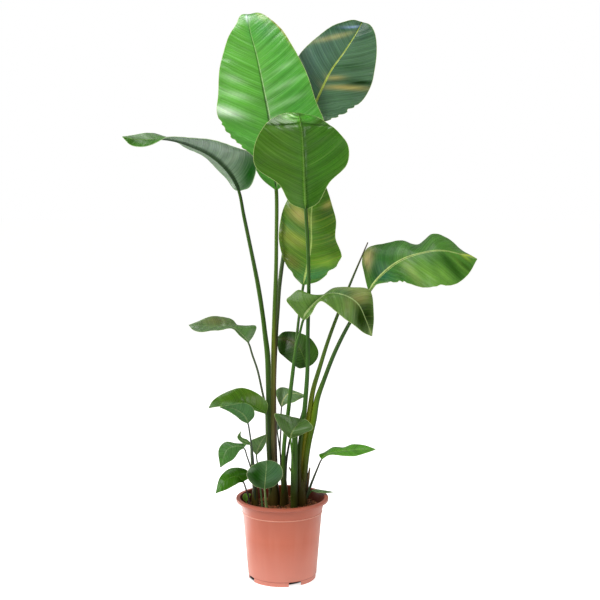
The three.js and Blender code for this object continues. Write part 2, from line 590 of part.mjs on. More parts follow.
function stalkSolid(stalk, rooting) {
  const { leaf, form } = stalk;
  const course = stalkCourse(stalk);
  const line = course.map(point);
  if (leaf) line.push(point(LEAVES[leaf].rib[0]));
  const points = along(line, form.steps, 0, course.length - 1);
  const radii = points.map((place) => radiusNear(place, course));
  points.unshift(points[0].clone().setZ(soilTop - rooting));
  radii.unshift(radii[0]);
  const seat = leaf && seatOf(LEAVES[leaf], point(stalk.path[0]));
  return toManifold(stalkGeometry(points, radii, form.sides, seat));
}

// The buried foot of a shoot, round and upright. With `spare` it is the hole that it stands in.
function crownSolid({ at, radius }, spare = 0) {
  const points = CROWN_LEVELS.map((z, i) => point([...at, soilTop + z - (i === 0 ? spare : 0)]));
  const radii = CROWN_SHARES.map((share) => share * radius + spare);
  return toManifold(stalkGeometry(points, radii, CROWN_SIDES));
}

function holeOf(shoot) {
  if (shoot.crown) return crownSolid(shoot.crown, CLEARANCE);
  const [{ foot: [x, y, radius], form }] = shoot.stalks;
  const levels = [-BURIED / 2 - CLEARANCE, 0, 2 * SOIL_BUMP];
  const points = levels.map((z) => point([x, y, soilTop + z]));
  return toManifold(stalkGeometry(points, levels.map(() => radius + CLEARANCE), form.sides));
}

function shootSolid(shoot) {
  const rooting = shoot.crown ? STALK_ROOTING : BURIED / 2;
  const solids = shoot.stalks.map((stalk) => stalkSolid(stalk, rooting));
  if (shoot.crown) solids.push(crownSolid(shoot.crown));
  return solids.reduce((whole, next) => whole.add(next));
}

// ---------------------------------------------------------------- soil

// One plug of potting mix from the pot's floor up, lumpy on top, with a hole for each shoot.
function soilSolid() {
  const bottom = floorTop + CLEARANCE;
  const radiusAt = (z) => innerRadius(z) - CLEARANCE;
  const border = SOIL_BORDER * radiusAt(soilTop);
  const outline = [
    [0, bottom],
    [radiusAt(bottom), bottom],
    [radiusAt(stepZ), stepZ],
    [radiusAt(soilTop), soilTop],
  ];
  for (let k = SOIL_RINGS; k >= 0; k -= 1) outline.push([(border * k) / SOIL_RINGS, soilTop]);
  const plug = turnedGeometry(outline, POT_SEGMENTS / 2);
  const places = plug.attributes.position;
  for (let i = 0; i < places.count; i += 1) {
    const [x, y, z] = [places.getX(i), places.getY(i), places.getZ(i)];
    if (z > soilTop - 1 && Math.hypot(x, y) < border + 1) {
      places.setZ(i, soilTop + SOIL_BUMP * Math.sin(x / 13) * Math.cos(y / 17 + x / 31));
    }
  }
  return Object.values(SHOOTS).reduce((soil, shoot) => soil.subtract(holeOf(shoot)), toManifold(plug));
}

// ---------------------------------------------------------------- the plant in its pot

const plant = new THREE.Group();

function add(name, geometry, colour, roughness) {
  const material = new THREE.MeshStandardMaterial({ color: colour, roughness, metalness: 0 });
  const mesh = new THREE.Mesh(geometry, material);
  mesh.name = name;
  plant.add(mesh);
}

add('pot', fromManifold(potSolid()), '#d2826a', 0.45);
add('soil', fromManifold(soilSolid()), '#2a1a10', 0.95);
Object.entries(SHOOTS).forEach(([name, shoot]) => {
  add(name, fromManifold(shootSolid(shoot)), shoot.colour, 0.5);
  shoot.stalks.filter((stalk) => stalk.leaf).forEach((stalk) => {
    const leaf = LEAVES[stalk.leaf];
    const blade = bladeGeometry(leaf, point(stalk.path[0]));
    add(`leaf_${stalk.leaf}`, blade, leaf.colour, 0.4);
  });
});

const box = new THREE.Box3().setFromObject(plant);
const middle = box.getCenter(new THREE.Vector3());
plant.position.set(-middle.x, -middle.y, -box.min.z);

export default plant;
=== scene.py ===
import bpy
import math
import numpy as np
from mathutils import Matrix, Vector, noise


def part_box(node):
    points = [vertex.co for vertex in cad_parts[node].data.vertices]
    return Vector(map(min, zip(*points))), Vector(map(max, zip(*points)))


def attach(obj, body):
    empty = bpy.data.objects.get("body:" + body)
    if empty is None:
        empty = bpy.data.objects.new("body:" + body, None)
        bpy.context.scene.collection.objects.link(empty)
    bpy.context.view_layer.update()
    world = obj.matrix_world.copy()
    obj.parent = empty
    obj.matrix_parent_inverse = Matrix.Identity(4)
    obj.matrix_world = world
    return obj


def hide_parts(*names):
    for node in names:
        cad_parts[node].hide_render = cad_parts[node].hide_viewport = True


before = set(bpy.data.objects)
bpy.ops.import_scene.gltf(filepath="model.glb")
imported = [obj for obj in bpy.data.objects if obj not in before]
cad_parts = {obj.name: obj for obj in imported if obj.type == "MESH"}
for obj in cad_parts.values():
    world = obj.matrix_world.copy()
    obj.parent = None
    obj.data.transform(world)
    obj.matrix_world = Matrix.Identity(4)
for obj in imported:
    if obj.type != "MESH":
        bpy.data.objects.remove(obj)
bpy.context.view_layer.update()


# ------------------------------------------------------------------ nursery pot
# A grower's pot, injection-moulded in terracotta-coloured polypropylene: one thin wall with a
# rolled lip, a collar above a raised step line, and a foot ring with four drainage notches.

MM = 0.001
pot_low, pot_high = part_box("pot")
POT_AXIS = Vector(((pot_low.x + pot_high.x) / 2, (pot_low.y + pot_high.y) / 2, 0))
# Radius and height of each turn of the wall, from the middle of the underside up the outside,
# over the lip and down the inside.
POT_WALL_OUTLINE = [
    (2, 12.5), (85, 12.5), (85, 0.3), (85.3, 0), (86.7, 0), (87, 0.4), (87, 11), (88.6, 11.4),
    (89, 12.2), (102.7, 171.5), (103.1, 173.0), (104.6, 174), (104.5, 175), (103.5, 176),
    (108.8, 199.2), (109.6, 201.2), (111, 202), (117.4, 202), (119.3, 202.9), (120, 204.8),
    (120, 208.3), (119.4, 210.2), (117.6, 211), (111.8, 211), (109.7, 210.6), (109, 209.6),
    (107, 202), (101, 174), (87, 14.5), (2, 14.5),
]
POT_SIDES = 176
FOOT_RADIUS = 87
NOTCHES = 4
NOTCH = (20, 34, 22.4)  # depth, width and twice the height of a drainage notch
NOTCH_TURN = math.radians(-67)
NOTCH_ROUNDING = 1.5


def place(x, y, z):
    """A point given in millimetres from the pot's axis, where it is in the frame."""
    return POT_AXIS + Vector((x, y, z)) * MM


def turn_on_axis(name, outline, sides):
    """A round body drawn up from one filled circle, ring by ring, through [radius, height] pairs."""
    bpy.ops.object.select_all(action="DESELECT")
    radius, height = outline[0]
    bpy.ops.mesh.primitive_circle_add(
        vertices=sides, radius=radius * MM, fill_type="NGON", location=place(0, 0, height)
    )
    piece = bpy.context.object
    piece.name = piece.data.name = name
    bpy.ops.object.mode_set(mode="EDIT")
    for next_radius, next_height in outline[1:]:
        bpy.ops.mesh.extrude_region_move(
            TRANSFORM_OT_translate={"value": (0, 0, (next_height - height) * MM)}
        )
        bpy.ops.transform.resize(
            value=(next_radius / radius, next_radius / radius, 1),
            center_override=place(0, 0, next_height),
        )
        radius, height = next_radius, next_height
    bpy.ops.mesh.select_all(action="SELECT")
    bpy.ops.mesh.normals_make_consistent(inside=False)
    bpy.ops.object.mode_set(mode="OBJECT")
    return piece


pot = turn_on_axis("pot_wall", POT_WALL_OUTLINE, POT_SIDES)
for k in range(NOTCHES):
    turn = NOTCH_TURN + k * 2 * math.pi / NOTCHES
    bpy.ops.object.select_all(action="DESELECT")
    bpy.ops.mesh.primitive_cube_add(
        size=1, scale=Vector(NOTCH) * MM, rotation=(0, 0, turn),
        location=place(FOOT_RADIUS * math.cos(turn), FOOT_RADIUS * math.sin(turn), 0),
    )
    cutter = bpy.context.object
    cutter.modifiers.new("round", "BEVEL").width = NOTCH_ROUNDING * MM
    cut = pot.modifiers.new("notch", "BOOLEAN")
    cut.object = cutter
    bpy.context.view_layer.objects.active = pot
    bpy.ops.object.modifier_apply(modifier="notch")
    bpy.data.objects.remove(cutter)


def linear(colour):
    """An sRGB hex colour as the linear RGBA that the shaders take."""
    parts = [int(colour[i:i + 2], 16) / 255 for i in (1, 3, 5)]
    return [c / 12.92 if c <= 0.04045 else ((c + 0.055) / 1.055) ** 2.4 for c in parts] + [1]


def feed(tree, socket, source):
    """Gives a socket another node's output, a hex colour or a plain value."""
    if isinstance(source, bpy.types.NodeSocket):
        tree.links.new(source, socket)
    else:
        socket.default_value = linear(source) if isinstance(source, str) else source


def add_node(tree, kind, inputs=(), output=0, **properties):
    """Adds a shader node with its properties and what feeds its sockets, and gives an output."""
    made = tree.nodes.new("ShaderNode" + kind)
    for key, value in properties.items():
        setattr(made, key, value)
    for key, source in dict(inputs).items():
        feed(tree, made.inputs[key], source)
    return made.outputs[output]


def calculate(tree, operation, *values):
    return add_node(tree, "Math", dict(enumerate(values)), operation=operation)


def remap(tree, value, low, high, to_low=0, to_high=1):
    """Carries a value from one range to another and holds it at the ends."""
    return add_node(tree, "MapRange", {0: value, 1: low, 2: high, 3: to_low, 4: to_high})


def lay_over(tree, under, over, share):
    """Lays one colour over another, by a share from 0 to 1."""
    return add_node(tree, "Mix", {0: share, 6: under, 7: over}, 2, data_type="RGBA")


def noise_in(tree, where, scale, detail=2, roughness=0.5):
    """Noise with so many changes a metre, or so many along each axis in turn."""
    if isinstance(scale, tuple):
        where, scale = add_node(tree, "Mapping", {"Vector": where, "Scale": scale}), 1
    settings = {"Vector": where, "Scale": scale, "Detail": detail, "Roughness": roughness}
    return add_node(tree, "TexNoise", settings, "Fac")


def bumped(tree, height, strength, distance, normal=None):
    """The normal of a relief, on top of another one where that is given."""
    settings = {"Height": height, "Strength": strength, "Distance": distance}
    return add_node(tree, "Bump", settings | ({"Normal": normal} if normal else {}))


def new_surface(name):
    """A material, with the node tree that holds its Principled shader."""
    material = bpy.data.materials.new(name)
    material.use_nodes = True
    return material, material.node_tree


def set_shader(tree, **inputs):
    """Feeds the Principled shader's sockets, named with a low line for each space."""
    for key, source in inputs.items():
        feed(tree, tree.nodes["Principled BSDF"].inputs[key.replace("_", " ")], source)


def finish_piece(piece, material, slot, *nodes, smooth=40):
    """Sets a finished piece at the origin, shades it, and ties it to the frame."""
    bpy.ops.object.select_all(action="DESELECT")
    piece.select_set(True)
    bpy.context.view_layer.objects.active = piece
    bpy.ops.object.transform_apply(location=True, rotation=True, scale=True)
    bpy.ops.object.shade_smooth_by_angle(angle=math.radians(smooth))
    piece.data.materials.clear()
    piece.data.materials.append(material)
    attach(piece, "root")
    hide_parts(*nodes)


# Two lines painted round the pot: a painted highlight on the step and a painted shadow above the foot
# ring.
STEP_LINE = (0.1748, 0.0011)  # metres: height of a line round the pot, and half its width
FOOT_LINE = (0.0117, 0.0009)
LEAN = 0.2143  # the wall widens so much for each unit of height
WALL_SIDES = (0.0643, 0.0654)  # metres: radius of its inside and of its outside, less that

# Polypropylene, injection-moulded with a satin face: an even colour with faint upright flow bands
# of 20 to 40 mm, paler at the foot with painted light bounced from the floor, darker on the collar
# with painted shade, a painted shadow line above the foot ring and a painted highlight along the
# step line, and painted shade on the inside, which has hardly any gloss.
pot_surface, tree = new_surface("polypropylene, moulded satin")
where = add_node(tree, "TexCoord", output="Object")
height = add_node(tree, "SeparateXYZ", {"Vector": where}, "Z")
flow = noise_in(tree, where, (42, 42, 3))
clouds = noise_in(tree, where, 14, 3)
dust = noise_in(tree, where, 420, 5, 0.7)
hue = lay_over(tree, "#cc6c50", "#c06247", clouds)
hue = lay_over(tree, hue, "#d88a74", remap(tree, flow, 0.45, 0.75, 0, 0.18))
# Painted light bounced up from the floor pales the wall from 110 mm down to the foot.
hue = lay_over(tree, hue, "#e39482", remap(tree, height, 0.11, 0.01, 0, 0.7))
# Painted shade darkens the wall from 120 mm up over the collar and lip.
hue = lay_over(tree, hue, "#a9563f", remap(tree, height, 0.12, 0.215, 0, 0.95))
# The step line is a painted highlight and the foot line a painted shadow.
for line, colour in ((STEP_LINE, "#e6a893"), (FOOT_LINE, "#8f4a3a")):
    on_line = calculate(tree, "COMPARE", height, *line)
    hue = lay_over(tree, hue, colour, calculate(tree, "MULTIPLY", on_line, 0.7))
# The inside of the wall is painted dark as painted shade.
from_axis = add_node(tree, "Mapping", {
    "Vector": where, "Location": (-POT_AXIS.x, -POT_AXIS.y, 0), "Scale": (1, 1, 0)})
reach = add_node(tree, "VectorMath", {0: from_axis}, "Value", operation="LENGTH")
upright = calculate(tree, "MULTIPLY_ADD", height, -LEAN, reach)
hue = lay_over(tree, hue, "#4c200e", remap(tree, upright, *WALL_SIDES, 0.92, 0))
hue = lay_over(tree, hue, "#9c7a66", remap(tree, dust, 0.6, 0.8, 0, 0.3))
set_shader(
    tree, Base_Color=hue, IOR=1.49, Roughness=remap(tree, clouds, 0.3, 0.7, 0.32, 0.44),
    Specular_IOR_Level=remap(tree, upright, *WALL_SIDES, 0.08, 0.5),
    Coat_Weight=remap(tree, upright, *WALL_SIDES, 0.05, 0.25), Coat_Roughness=0.22,
    Subsurface_Weight=0.06, Subsurface_Scale=0.004, Subsurface_Radius=(1.0, 0.4, 0.25),
    Normal=bumped(tree, flow, 0.3, 0.0008, bumped(tree, dust, 0.25, 0.0002)),
)
finish_piece(pot, pot_surface, "pot", "pot", smooth=35)


# ------------------------------------------------------------------ potting mix
# A plug of peat and composted bark that fills the pot to 27 mm below the lip: crumbs of a few
# millimetres, with chips of bark and short fibres lying on it.

MIX_TOP = 184
MIX_RADIUS = 100.6
MIX_RINGS = 46
MIX_BORDER = 6  # the crumbs level off over this breadth along the wall
CRUMB_RISE, CRUMB_SIZE, CLOD_SIZE = 3.2, 9, 28


def mound(x, y):
    """How far the mix swells up or sinks at a place."""
    return 2 * math.sin(x / 13) * math.cos(y / 17 + x / 31)


mix = turn_on_axis(
    "potting_mix",
    [(2, 14.8), (86.5, 14.8), (98, 168), (MIX_RADIUS + 0.8, MIX_TOP - 1)]
    + [(MIX_RADIUS * (1 - k / MIX_RINGS), MIX_TOP) for k in range(MIX_RINGS)],
    POT_SIDES,
)
for vertex in mix.data.vertices:
    spot = (vertex.co + mix.location - POT_AXIS) / MM
    if spot.z > MIX_TOP - 0.5:
        crumbs = noise.fractal(spot / CRUMB_SIZE, 0.7, 2.1, 4)
        crumbs += 0.6 * noise.noise(spot / CLOD_SIZE)
        border = min(1, (MIX_RADIUS - math.hypot(spot.x, spot.y)) / MIX_BORDER)
        vertex.co.z += (CRUMB_RISE * crumbs + mound(spot.x, spot.y)) * border * MM

# Peat and composted bark, damp: dark brown, painted almost black in the hollows between the
# crumbs as painted shade, and red-brown on top of them.
mix_surface, tree = new_surface("peat and bark, loose and damp")
where = add_node(tree, "TexCoord", output="Object")
crumb = noise_in(tree, where, 260, 6, 0.7)
fleck = add_node(tree, "TexVoronoi", {"Vector": where, "Scale": 210}, "Color")
hue = add_node(tree, "ValToRGB", {"Fac": crumb})
for end, stop, colour in ((0, 0.36, "#1a0d06"), (1, 0.72, "#7c4a2a")):
    hue.node.color_ramp.elements[end].position = stop
    hue.node.color_ramp.elements[end].color = linear(colour)
hue = lay_over(tree, hue, "#9a6a44", remap(tree, fleck, 0.78, 0.9, 0, 0.8))
set_shader(tree, Base_Color=hue, Roughness=0.85, Specular_IOR_Level=0.2,
           Normal=bumped(tree, crumb, 0.9, 0.0015))
finish_piece(mix, mix_surface, "soil", "soil", smooth=60)


CHIP_ROUGHNESS = (0.7, 1.25)
CHIP_LEAN = 0.35
CHIP_LIFT = (0.5, 3.0)
CLEAR_OF_WALL = 5
BARE_MIDDLE = 0.01  # share of the surface


def scatter(name, count, seed, lengths, widths, flat):
    """Joined chips, each a low ball that is stretched, roughened, turned and dropped on the mix."""
    rng = np.random.default_rng(seed)
    bpy.ops.object.select_all(action="DESELECT")
    bpy.ops.mesh.primitive_ico_sphere_add(subdivisions=1, radius=1)
    ball = bpy.context.object
    form = np.array([v.co for v in ball.data.vertices])
    faces = [list(p.vertices) for p in ball.data.polygons]
    bpy.data.objects.remove(ball)
    points, polygons = [], []
    for _ in range(count):
        size = np.array([rng.uniform(*lengths), rng.uniform(*widths), 0]) / 2
        size[2] = size[1] * flat
        chip = form * size * rng.uniform(*CHIP_ROUGHNESS, form.shape)
        turn, lean = rng.uniform(0, 2 * math.pi), rng.normal(0, CHIP_LEAN)
        c, s = math.cos(turn), math.sin(turn)
        chip[:, 2] += chip[:, 0] * lean
        chip = chip @ np.array([[c, s, 0], [-s, c, 0], [0, 0, 1]])
        reach = (MIX_RADIUS - CLEAR_OF_WALL) * math.sqrt(rng.uniform(BARE_MIDDLE, 1))
        bearing = rng.uniform(0, 2 * math.pi)
        x, y = reach * math.cos(bearing), reach * math.sin(bearing)
        chip += [x, y, MIX_TOP + mound(x, y) + rng.uniform(*CHIP_LIFT)]
        polygons += [[i + len(points) for i in face] for face in faces]
        points += [place(*p) for p in chip]
    mesh = bpy.data.meshes.new(name)
    mesh.from_pydata(points, [], polygons)
    piece = bpy.data.objects.new(name, mesh)
    bpy.context.scene.collection.objects.link(piece)
    return piece


def chip_surface(name, dark, light, roughness):
    """Broken bark or fibre, dry on top: a shade that changes from chip to chip, and a fine grain."""
    surface, tree = new_surface(name)
    where = add_node(tree, "TexCoord", output="Object")
    grain = noise_in(tree, where, 700, 3)
    shade = calculate(tree, "ADD", noise_in(tree, where, 75),
                      calculate(tree, "MULTIPLY", grain, 0.35))
    set_shader(tree, Base_Color=lay_over(tree, dark, light, remap(tree, shade, 0.5, 0.85)),
               Roughness=roughness, Specular_IOR_Level=0.25,
               Normal=bumped(tree, grain, 0.5, 0.0005))
    return surface


bark = scatter("bark_chips", count=620, seed=7, lengths=(4, 15), widths=(3, 8), flat=0.5)
finish_piece(bark, chip_surface("composted bark, broken", "#34180a", "#a05f36", 0.8), "soil", smooth=20)
fibres = scatter("loose_fibres", count=260, seed=11, lengths=(10, 26), widths=(0.8, 1.6), flat=0.8)
finish_piece(fibres, chip_surface("coir fibre, dry", "#4a2e18", "#b08458", 0.7), "soil", smooth=20)


# ------------------------------------------------------------------ courses of the leaves
# Every leaf is one thin blade either side of a fleshy midrib, which carries on its stalk's line.
# It unrolls from the stalk's tip, so its rib and both edges are three free curves.

# In millimetres from the pot's axis, seen on the upper face with the tip up:
# `base`, `rib` and `tip` give the midrib's course, `left` and `right` the edges between its ends.
# `wave` and `waves` are the height and number of the edge's waves; `ripple` is the relief of the
# veins at the base and at the tip; `nicks` are small tears of the edge [side, share, depth, run].
# `upper` and `under` colour the faces, `rib_line` and `keel` the rib on each, `edge` the margin.
# `streak` is the bands along the veins [colour, strength], and `shoulder` the lines beside the
# rib [colour, left, right]. `rib_line_columns` is the rib line's breadth, `fade` how much of it is
# gone at the tip; `broad_keel` colours the keel's foot too; `gloss` is a share of the full gloss.
# `marks` are tinted patches [share along, share across, reach along, reach across, colour,
# strength], with a slant where it isn't SLANT: how far up a patch moves for a half's width out.
# On several leaves the near-white and bluish marks are painted highlights and sheen, and the
# darkest marks are painted shade in bends and folds.
# A blade is `wall` thick. `rib` and `rib_tip` are half the rib's breadth at each end, `keel` its
# depth at the base, and the columns at the rib take at most half of `across` of each half.
BIG = dict(rows=14, wall=1.0, rib=5.0, rib_tip=1.2, keel=6.5, across=0.42)
SMALL = dict(rows=7, wall=0.8, rib=2.4, rib_tip=0.9, keel=2.6, across=0.6)
LEAVES = {}
LEAVES["tall_left"] = dict(
    size=BIG, wave=4, waves=5, base=(-15, 40, 1005), tip=(-93, 256, 1484),
    rib=[(-26, 50, 1096), (-33, 70, 1180), (-50, 96, 1268), (-70, 140, 1361), (-87, 176, 1424),
         (-94, 208, 1468)],
    left=[(-49, 40, 1034), (-85, 40, 1096), (-136, 45, 1149), (-163, 54, 1196), (-163, 78, 1249),
          (-160, 112, 1327), (-144, 150, 1399), (-124, 180, 1443), (-113, 215, 1474)],
    right=[(20, 45, 1029), (74, 50, 1096), (105, 58, 1165), (80, 85, 1244), (54, 110, 1324),
           (21, 140, 1385), (-4, 165, 1430), (-40, 195, 1464), (-70, 232, 1484)],
    upper="#56943a", under="#5b8448", rib_line="#2c5718", keel="#799354", edge="#b1bf82",
    streak=("#8cc878", 0.6), shoulder=("#a4c884", 0.0, 0.8), ripple=(1.0, 1.5), rib_line_columns=4,
    fade=0.8,
    # The near-white marks are painted highlights: a gleam on the left edge, one near the tip, and thin
    # lines of gleam along the veins.
    marks=[(0.83, 1.0, 0.13, 0.05, "#a5803a", 1.0), (0.9, 0.75, 0.06, 0.16, "#b8c866", 0.7),
           (0.45, 0.6, 0.5, 0.5, "#458f3e", 0.5), (0.45, -0.6, 0.4, 0.5, "#64a845", 0.5),
           (0.12, 0.6, 0.2, 0.5, "#458532", 0.5), (0.2, -0.6, 0.15, 0.6, "#5da04c", 0.6),
           (0.4, -0.85, 0.022, 0.3, "#d4e6cc", 0.95), (0.91, -0.15, 0.035, 0.22, "#cfe2dc", 0.85),
           (0.82, 0.55, 0.07, 0.4, "#347a40", 0.6), (0.8, 0.0, 0.05, 0.25, "#3f8a38", 0.5),
           (0.47, -0.6, 0.015, 0.3, "#cfe8c4", 0.4), (0.55, -0.65, 0.016, 0.25, "#cfe8c4", 0.35),
           (0.42, 0.45, 0.011, 0.35, "#b4dca4", 0.35), (0.5, 0.5, 0.012, 0.35, "#b4dca4", 0.4),
           (0.59, 0.6, 0.011, 0.3, "#b4dca4", 0.35)],
    nicks=[(-1, 0.2, 5, 0.012), (-1, 0.235, 6, 0.012), (-1, 0.265, 5, 0.01), (-1, 0.3, 6, 0.012),
           (-1, 0.335, 4, 0.01), (-1, 0.36, 5, 0.01), (-1, 0.15, 4, 0.012), (1, 0.2, 3, 0.02)],
)
LEAVES["tall_right"] = dict(
    size=BIG, wave=4, waves=6, base=(35, 105, 1070), tip=(216, 262, 1464),
    rib=[(59, 110, 1161), (91, 130, 1241), (126, 155, 1316), (166, 185, 1375), (197, 215, 1425)],
    left=[(20, 120, 1136), (14, 150, 1256), (43, 175, 1358), (78, 190, 1397), (113, 205, 1430),
          (160, 228, 1457), (190, 246, 1467)],
    right=[(64, 95, 1096), (111, 100, 1180), (167, 125, 1209), (210, 145, 1245), (235, 168, 1289),
           (250, 195, 1379), (248, 215, 1422), (234, 240, 1454)],
    upper="#4a694c", under="#829f7a", rib_line="#a6b74c", keel="#afbe6c", edge="#91a55e",
    streak=("#729474", 0.5), ripple=(0.5, 0.8),
    # The bluish mark at 0.9 is a painted highlight, and the dark marks round the tip are painted shade
    # where it bends back.
    marks=[(0.512, 0.5, 0.016, 0.5, "#a89a5c", 0.85), (0.572, 0.75, 0.018, 0.42, "#12280a", 1.0),
           (0.54, 0.15, 0.016, 0.2, "#9a9058", 0.8), (0.63, 0.3, 0.02, 0.4, "#20401c", 0.7),
           (0.76, -0.6, 0.028, 0.4, "#a3a068", 0.9, -0.22),
           (0.84, -0.65, 0.03, 0.4, "#1e4416", 0.9, -0.15), (0.93, 0.1, 0.06, 0.5, "#1f3f2a", 0.8),
           (0.9, -0.35, 0.02, 0.35, "#8ba3bc", 0.8, -0.15), (0.99, 0.0, 0.035, 1.5, "#1c4212", 1.0),
           (0.9, -1.0, 0.1, 0.16, "#1c4212", 1.0), (0.93, 0.9, 0.05, 0.3, "#25501a", 0.8),
           (0.5, -0.6, 0.4, 0.5, "#3f5560", 0.35), (0.88, 0.45, 0.06, 0.4, "#264038", 0.65)],
    nicks=[(1, 0.16, 6, 0.02), (1, 0.2, 4, 0.015), (1, 0.25, 8, 0.02), (1, 0.3, 5, 0.012),
           (1, 0.345, 8, 0.015), (1, 0.4, 7, 0.015), (1, 0.44, 4, 0.01)],
)
LEAVES["centre_front"] = dict(
    size=BIG, wave=2, waves=4, base=(60, -60, 955), tip=(41, -18, 1195),
    rib=[(56, -75, 1039), (53, -85, 1109), (50, -92, 1150), (47, -88, 1165)],
    left=[(86, -65, 970), (115, -70, 1020), (159, -70, 1066), (162, -70, 1110), (138, -70, 1144),
          (101, -42, 1175), (73, -24, 1188)],
    right=[(26, -65, 970), (-1, -70, 1015), (-60, -70, 1059), (-65, -75, 1100), (-48, -70, 1147),
           (-14, -40, 1184), (14, -24, 1194)],
    upper="#417b2a", under="#3e681c", rib_line="#5f7f3c", keel="#587e30", edge="#a9bb78",
    streak=("#6e9449", 0.5), ripple=(0.5, 3.5), rib_line_columns=2, fade=0.6,
    # Past the fold at 0.74 the marks are painted light and shade: a painted shadow line along the fold,
    # a dark dull ground under bright green painted light on the bent-back band, painted highlights on
    # it, and thin lines of painted shade.
    marks=[(0.45, 0.5, 0.5, 0.6, "#3e5e18", 0.5), (0.45, -0.5, 0.5, 0.6, "#356a1f", 0.5),
           (0.08, 0.5, 0.16, 0.4, "#4c7034", 0.6), (0.08, -0.5, 0.16, 0.4, "#2c5410", 0.6),
           (0.74, 0.0, 0.014, 1.2, "#0e2604", 1.0, 0.0), (0.88, 0.0, 0.07, 1.5, "#12300a", 0.75, 0.0),
           (0.86, 0.35, 0.07, 0.6, "#6fae48", 0.95), (0.86, -0.5, 0.07, 0.5, "#4a9a2c", 0.95),
           (0.8, -0.8, 0.04, 0.3, "#2c4c10", 0.7), (0.83, 0.2, 0.012, 0.3, "#1f480c", 0.8),
           (0.9, 0.45, 0.012, 0.2, "#d0e8c0", 0.8), (0.86, 0.6, 0.012, 0.15, "#d0e8c0", 0.7)],
)
LEAVES["hanging_left"] = dict(
    size=BIG, wave=2, waves=4, base=(-110, 20, 1000), tip=(-395, -44, 1134),
    rib=[(-129, 14, 1039), (-154, 6, 1069), (-184, 0, 1093), (-221, -6, 1111), (-258, -14, 1124),
         (-296, -26, 1130), (-335, -34, 1127), (-369, -40, 1129)],
    left=[(-86, 0, 1008), (-70, -20, 1038), (-67, -40, 1070), (-83, -54, 1094), (-115, -60, 1108),
          (-159, -62, 1120), (-208, -62, 1130), (-250, -60, 1133), (-285, -58, 1130), (-315, -58, 1117),
          (-344, -58, 1110), (-373, -52, 1114)],
    right=[(-123, 34, 1006), (-145, 56, 1035), (-182, 70, 1073), (-219, 70, 1100), (-256, 62, 1118),
           (-292, 40, 1135), (-316, 14, 1146), (-339, -4, 1145), (-369, -26, 1139)],
    upper="#407024", under="#627c5e", rib_line="#6a8c48", keel="#203b19", edge="#acc096",
    streak=("#879b7f", 0.5), ripple=(0.6, -0.4), broad_keel=True,
    # The grey-green marks are painted sheen on the upper part and near the tip.
    marks=[(0.17, -0.8, 0.16, 0.5, "#0f4404", 1.0), (0.27, -0.4, 0.02, 0.4, "#8a9c84", 0.6),
           (0.34, -0.45, 0.02, 0.4, "#8a9c84", 0.6), (0.45, -0.4, 0.2, 0.5, "#74877a", 0.6),
           (0.9, 0.0, 0.16, 1.2, "#2b5215", 0.75), (0.72, 0.7, 0.1, 0.4, "#66785f", 0.8)],
    nicks=[(1, 0.55, 4, 0.03)],
)
LEAVES["hanging_centre"] = dict(
    size=BIG, wave=3, waves=5, base=(55, 40, 760), tip=(90, 10, 1070),
    rib=[(65, 40, 810), (75, 40, 865), (75, 30, 940)],
    left=[(35, 50, 780), (5, 60, 830), (-5, 60, 880), (0, 55, 935), (25, 40, 995)],
    right=[(90, 40, 770), (120, 40, 795), (150, 35, 825), (135, 30, 880), (135, 30, 930),
           (115, 20, 1000)],
    upper="#4b7522", under="#5f8341", rib_line="#a0b866", keel="#91a95e", edge="#91ad57",
    streak=("#8c9941", 0.8), ripple=(0.7, 0.7), rib_line_columns=2,
    marks=[(0.57, -0.4, 0.06, 0.4, "#b8aa68", 0.7), (0.46, -0.6, 0.04, 0.5, "#47703a", 0.8),
           (0.38, -0.55, 0.06, 0.5, "#8f9a44", 0.8), (0.2, -0.7, 0.08, 0.4, "#6a6a2c", 0.7),
           (0.06, -0.4, 0.06, 0.8, "#3f7030", 0.8), (0.14, 0.6, 0.09, 0.7, "#3f7848", 0.85),
           (0.24, 0.55, 0.06, 0.5, "#7ea434", 0.65), (0.45, 0.6, 0.12, 0.5, "#3f6418", 0.7),
           (0.63, 0.6, 0.05, 0.5, "#34540f", 0.8), (0.7, 0.8, 0.025, 0.3, "#a8a058", 0.8),
           (0.8, 0.7, 0.04, 0.6, "#2f5c14", 0.9), (0.92, 0.0, 0.06, 1.2, "#4c7f2c", 0.8)],
    nicks=[(1, 0.3, 5, 0.04), (1, 0.2, 4, 0.03), (-1, 0.12, 3, 0.03)],
)
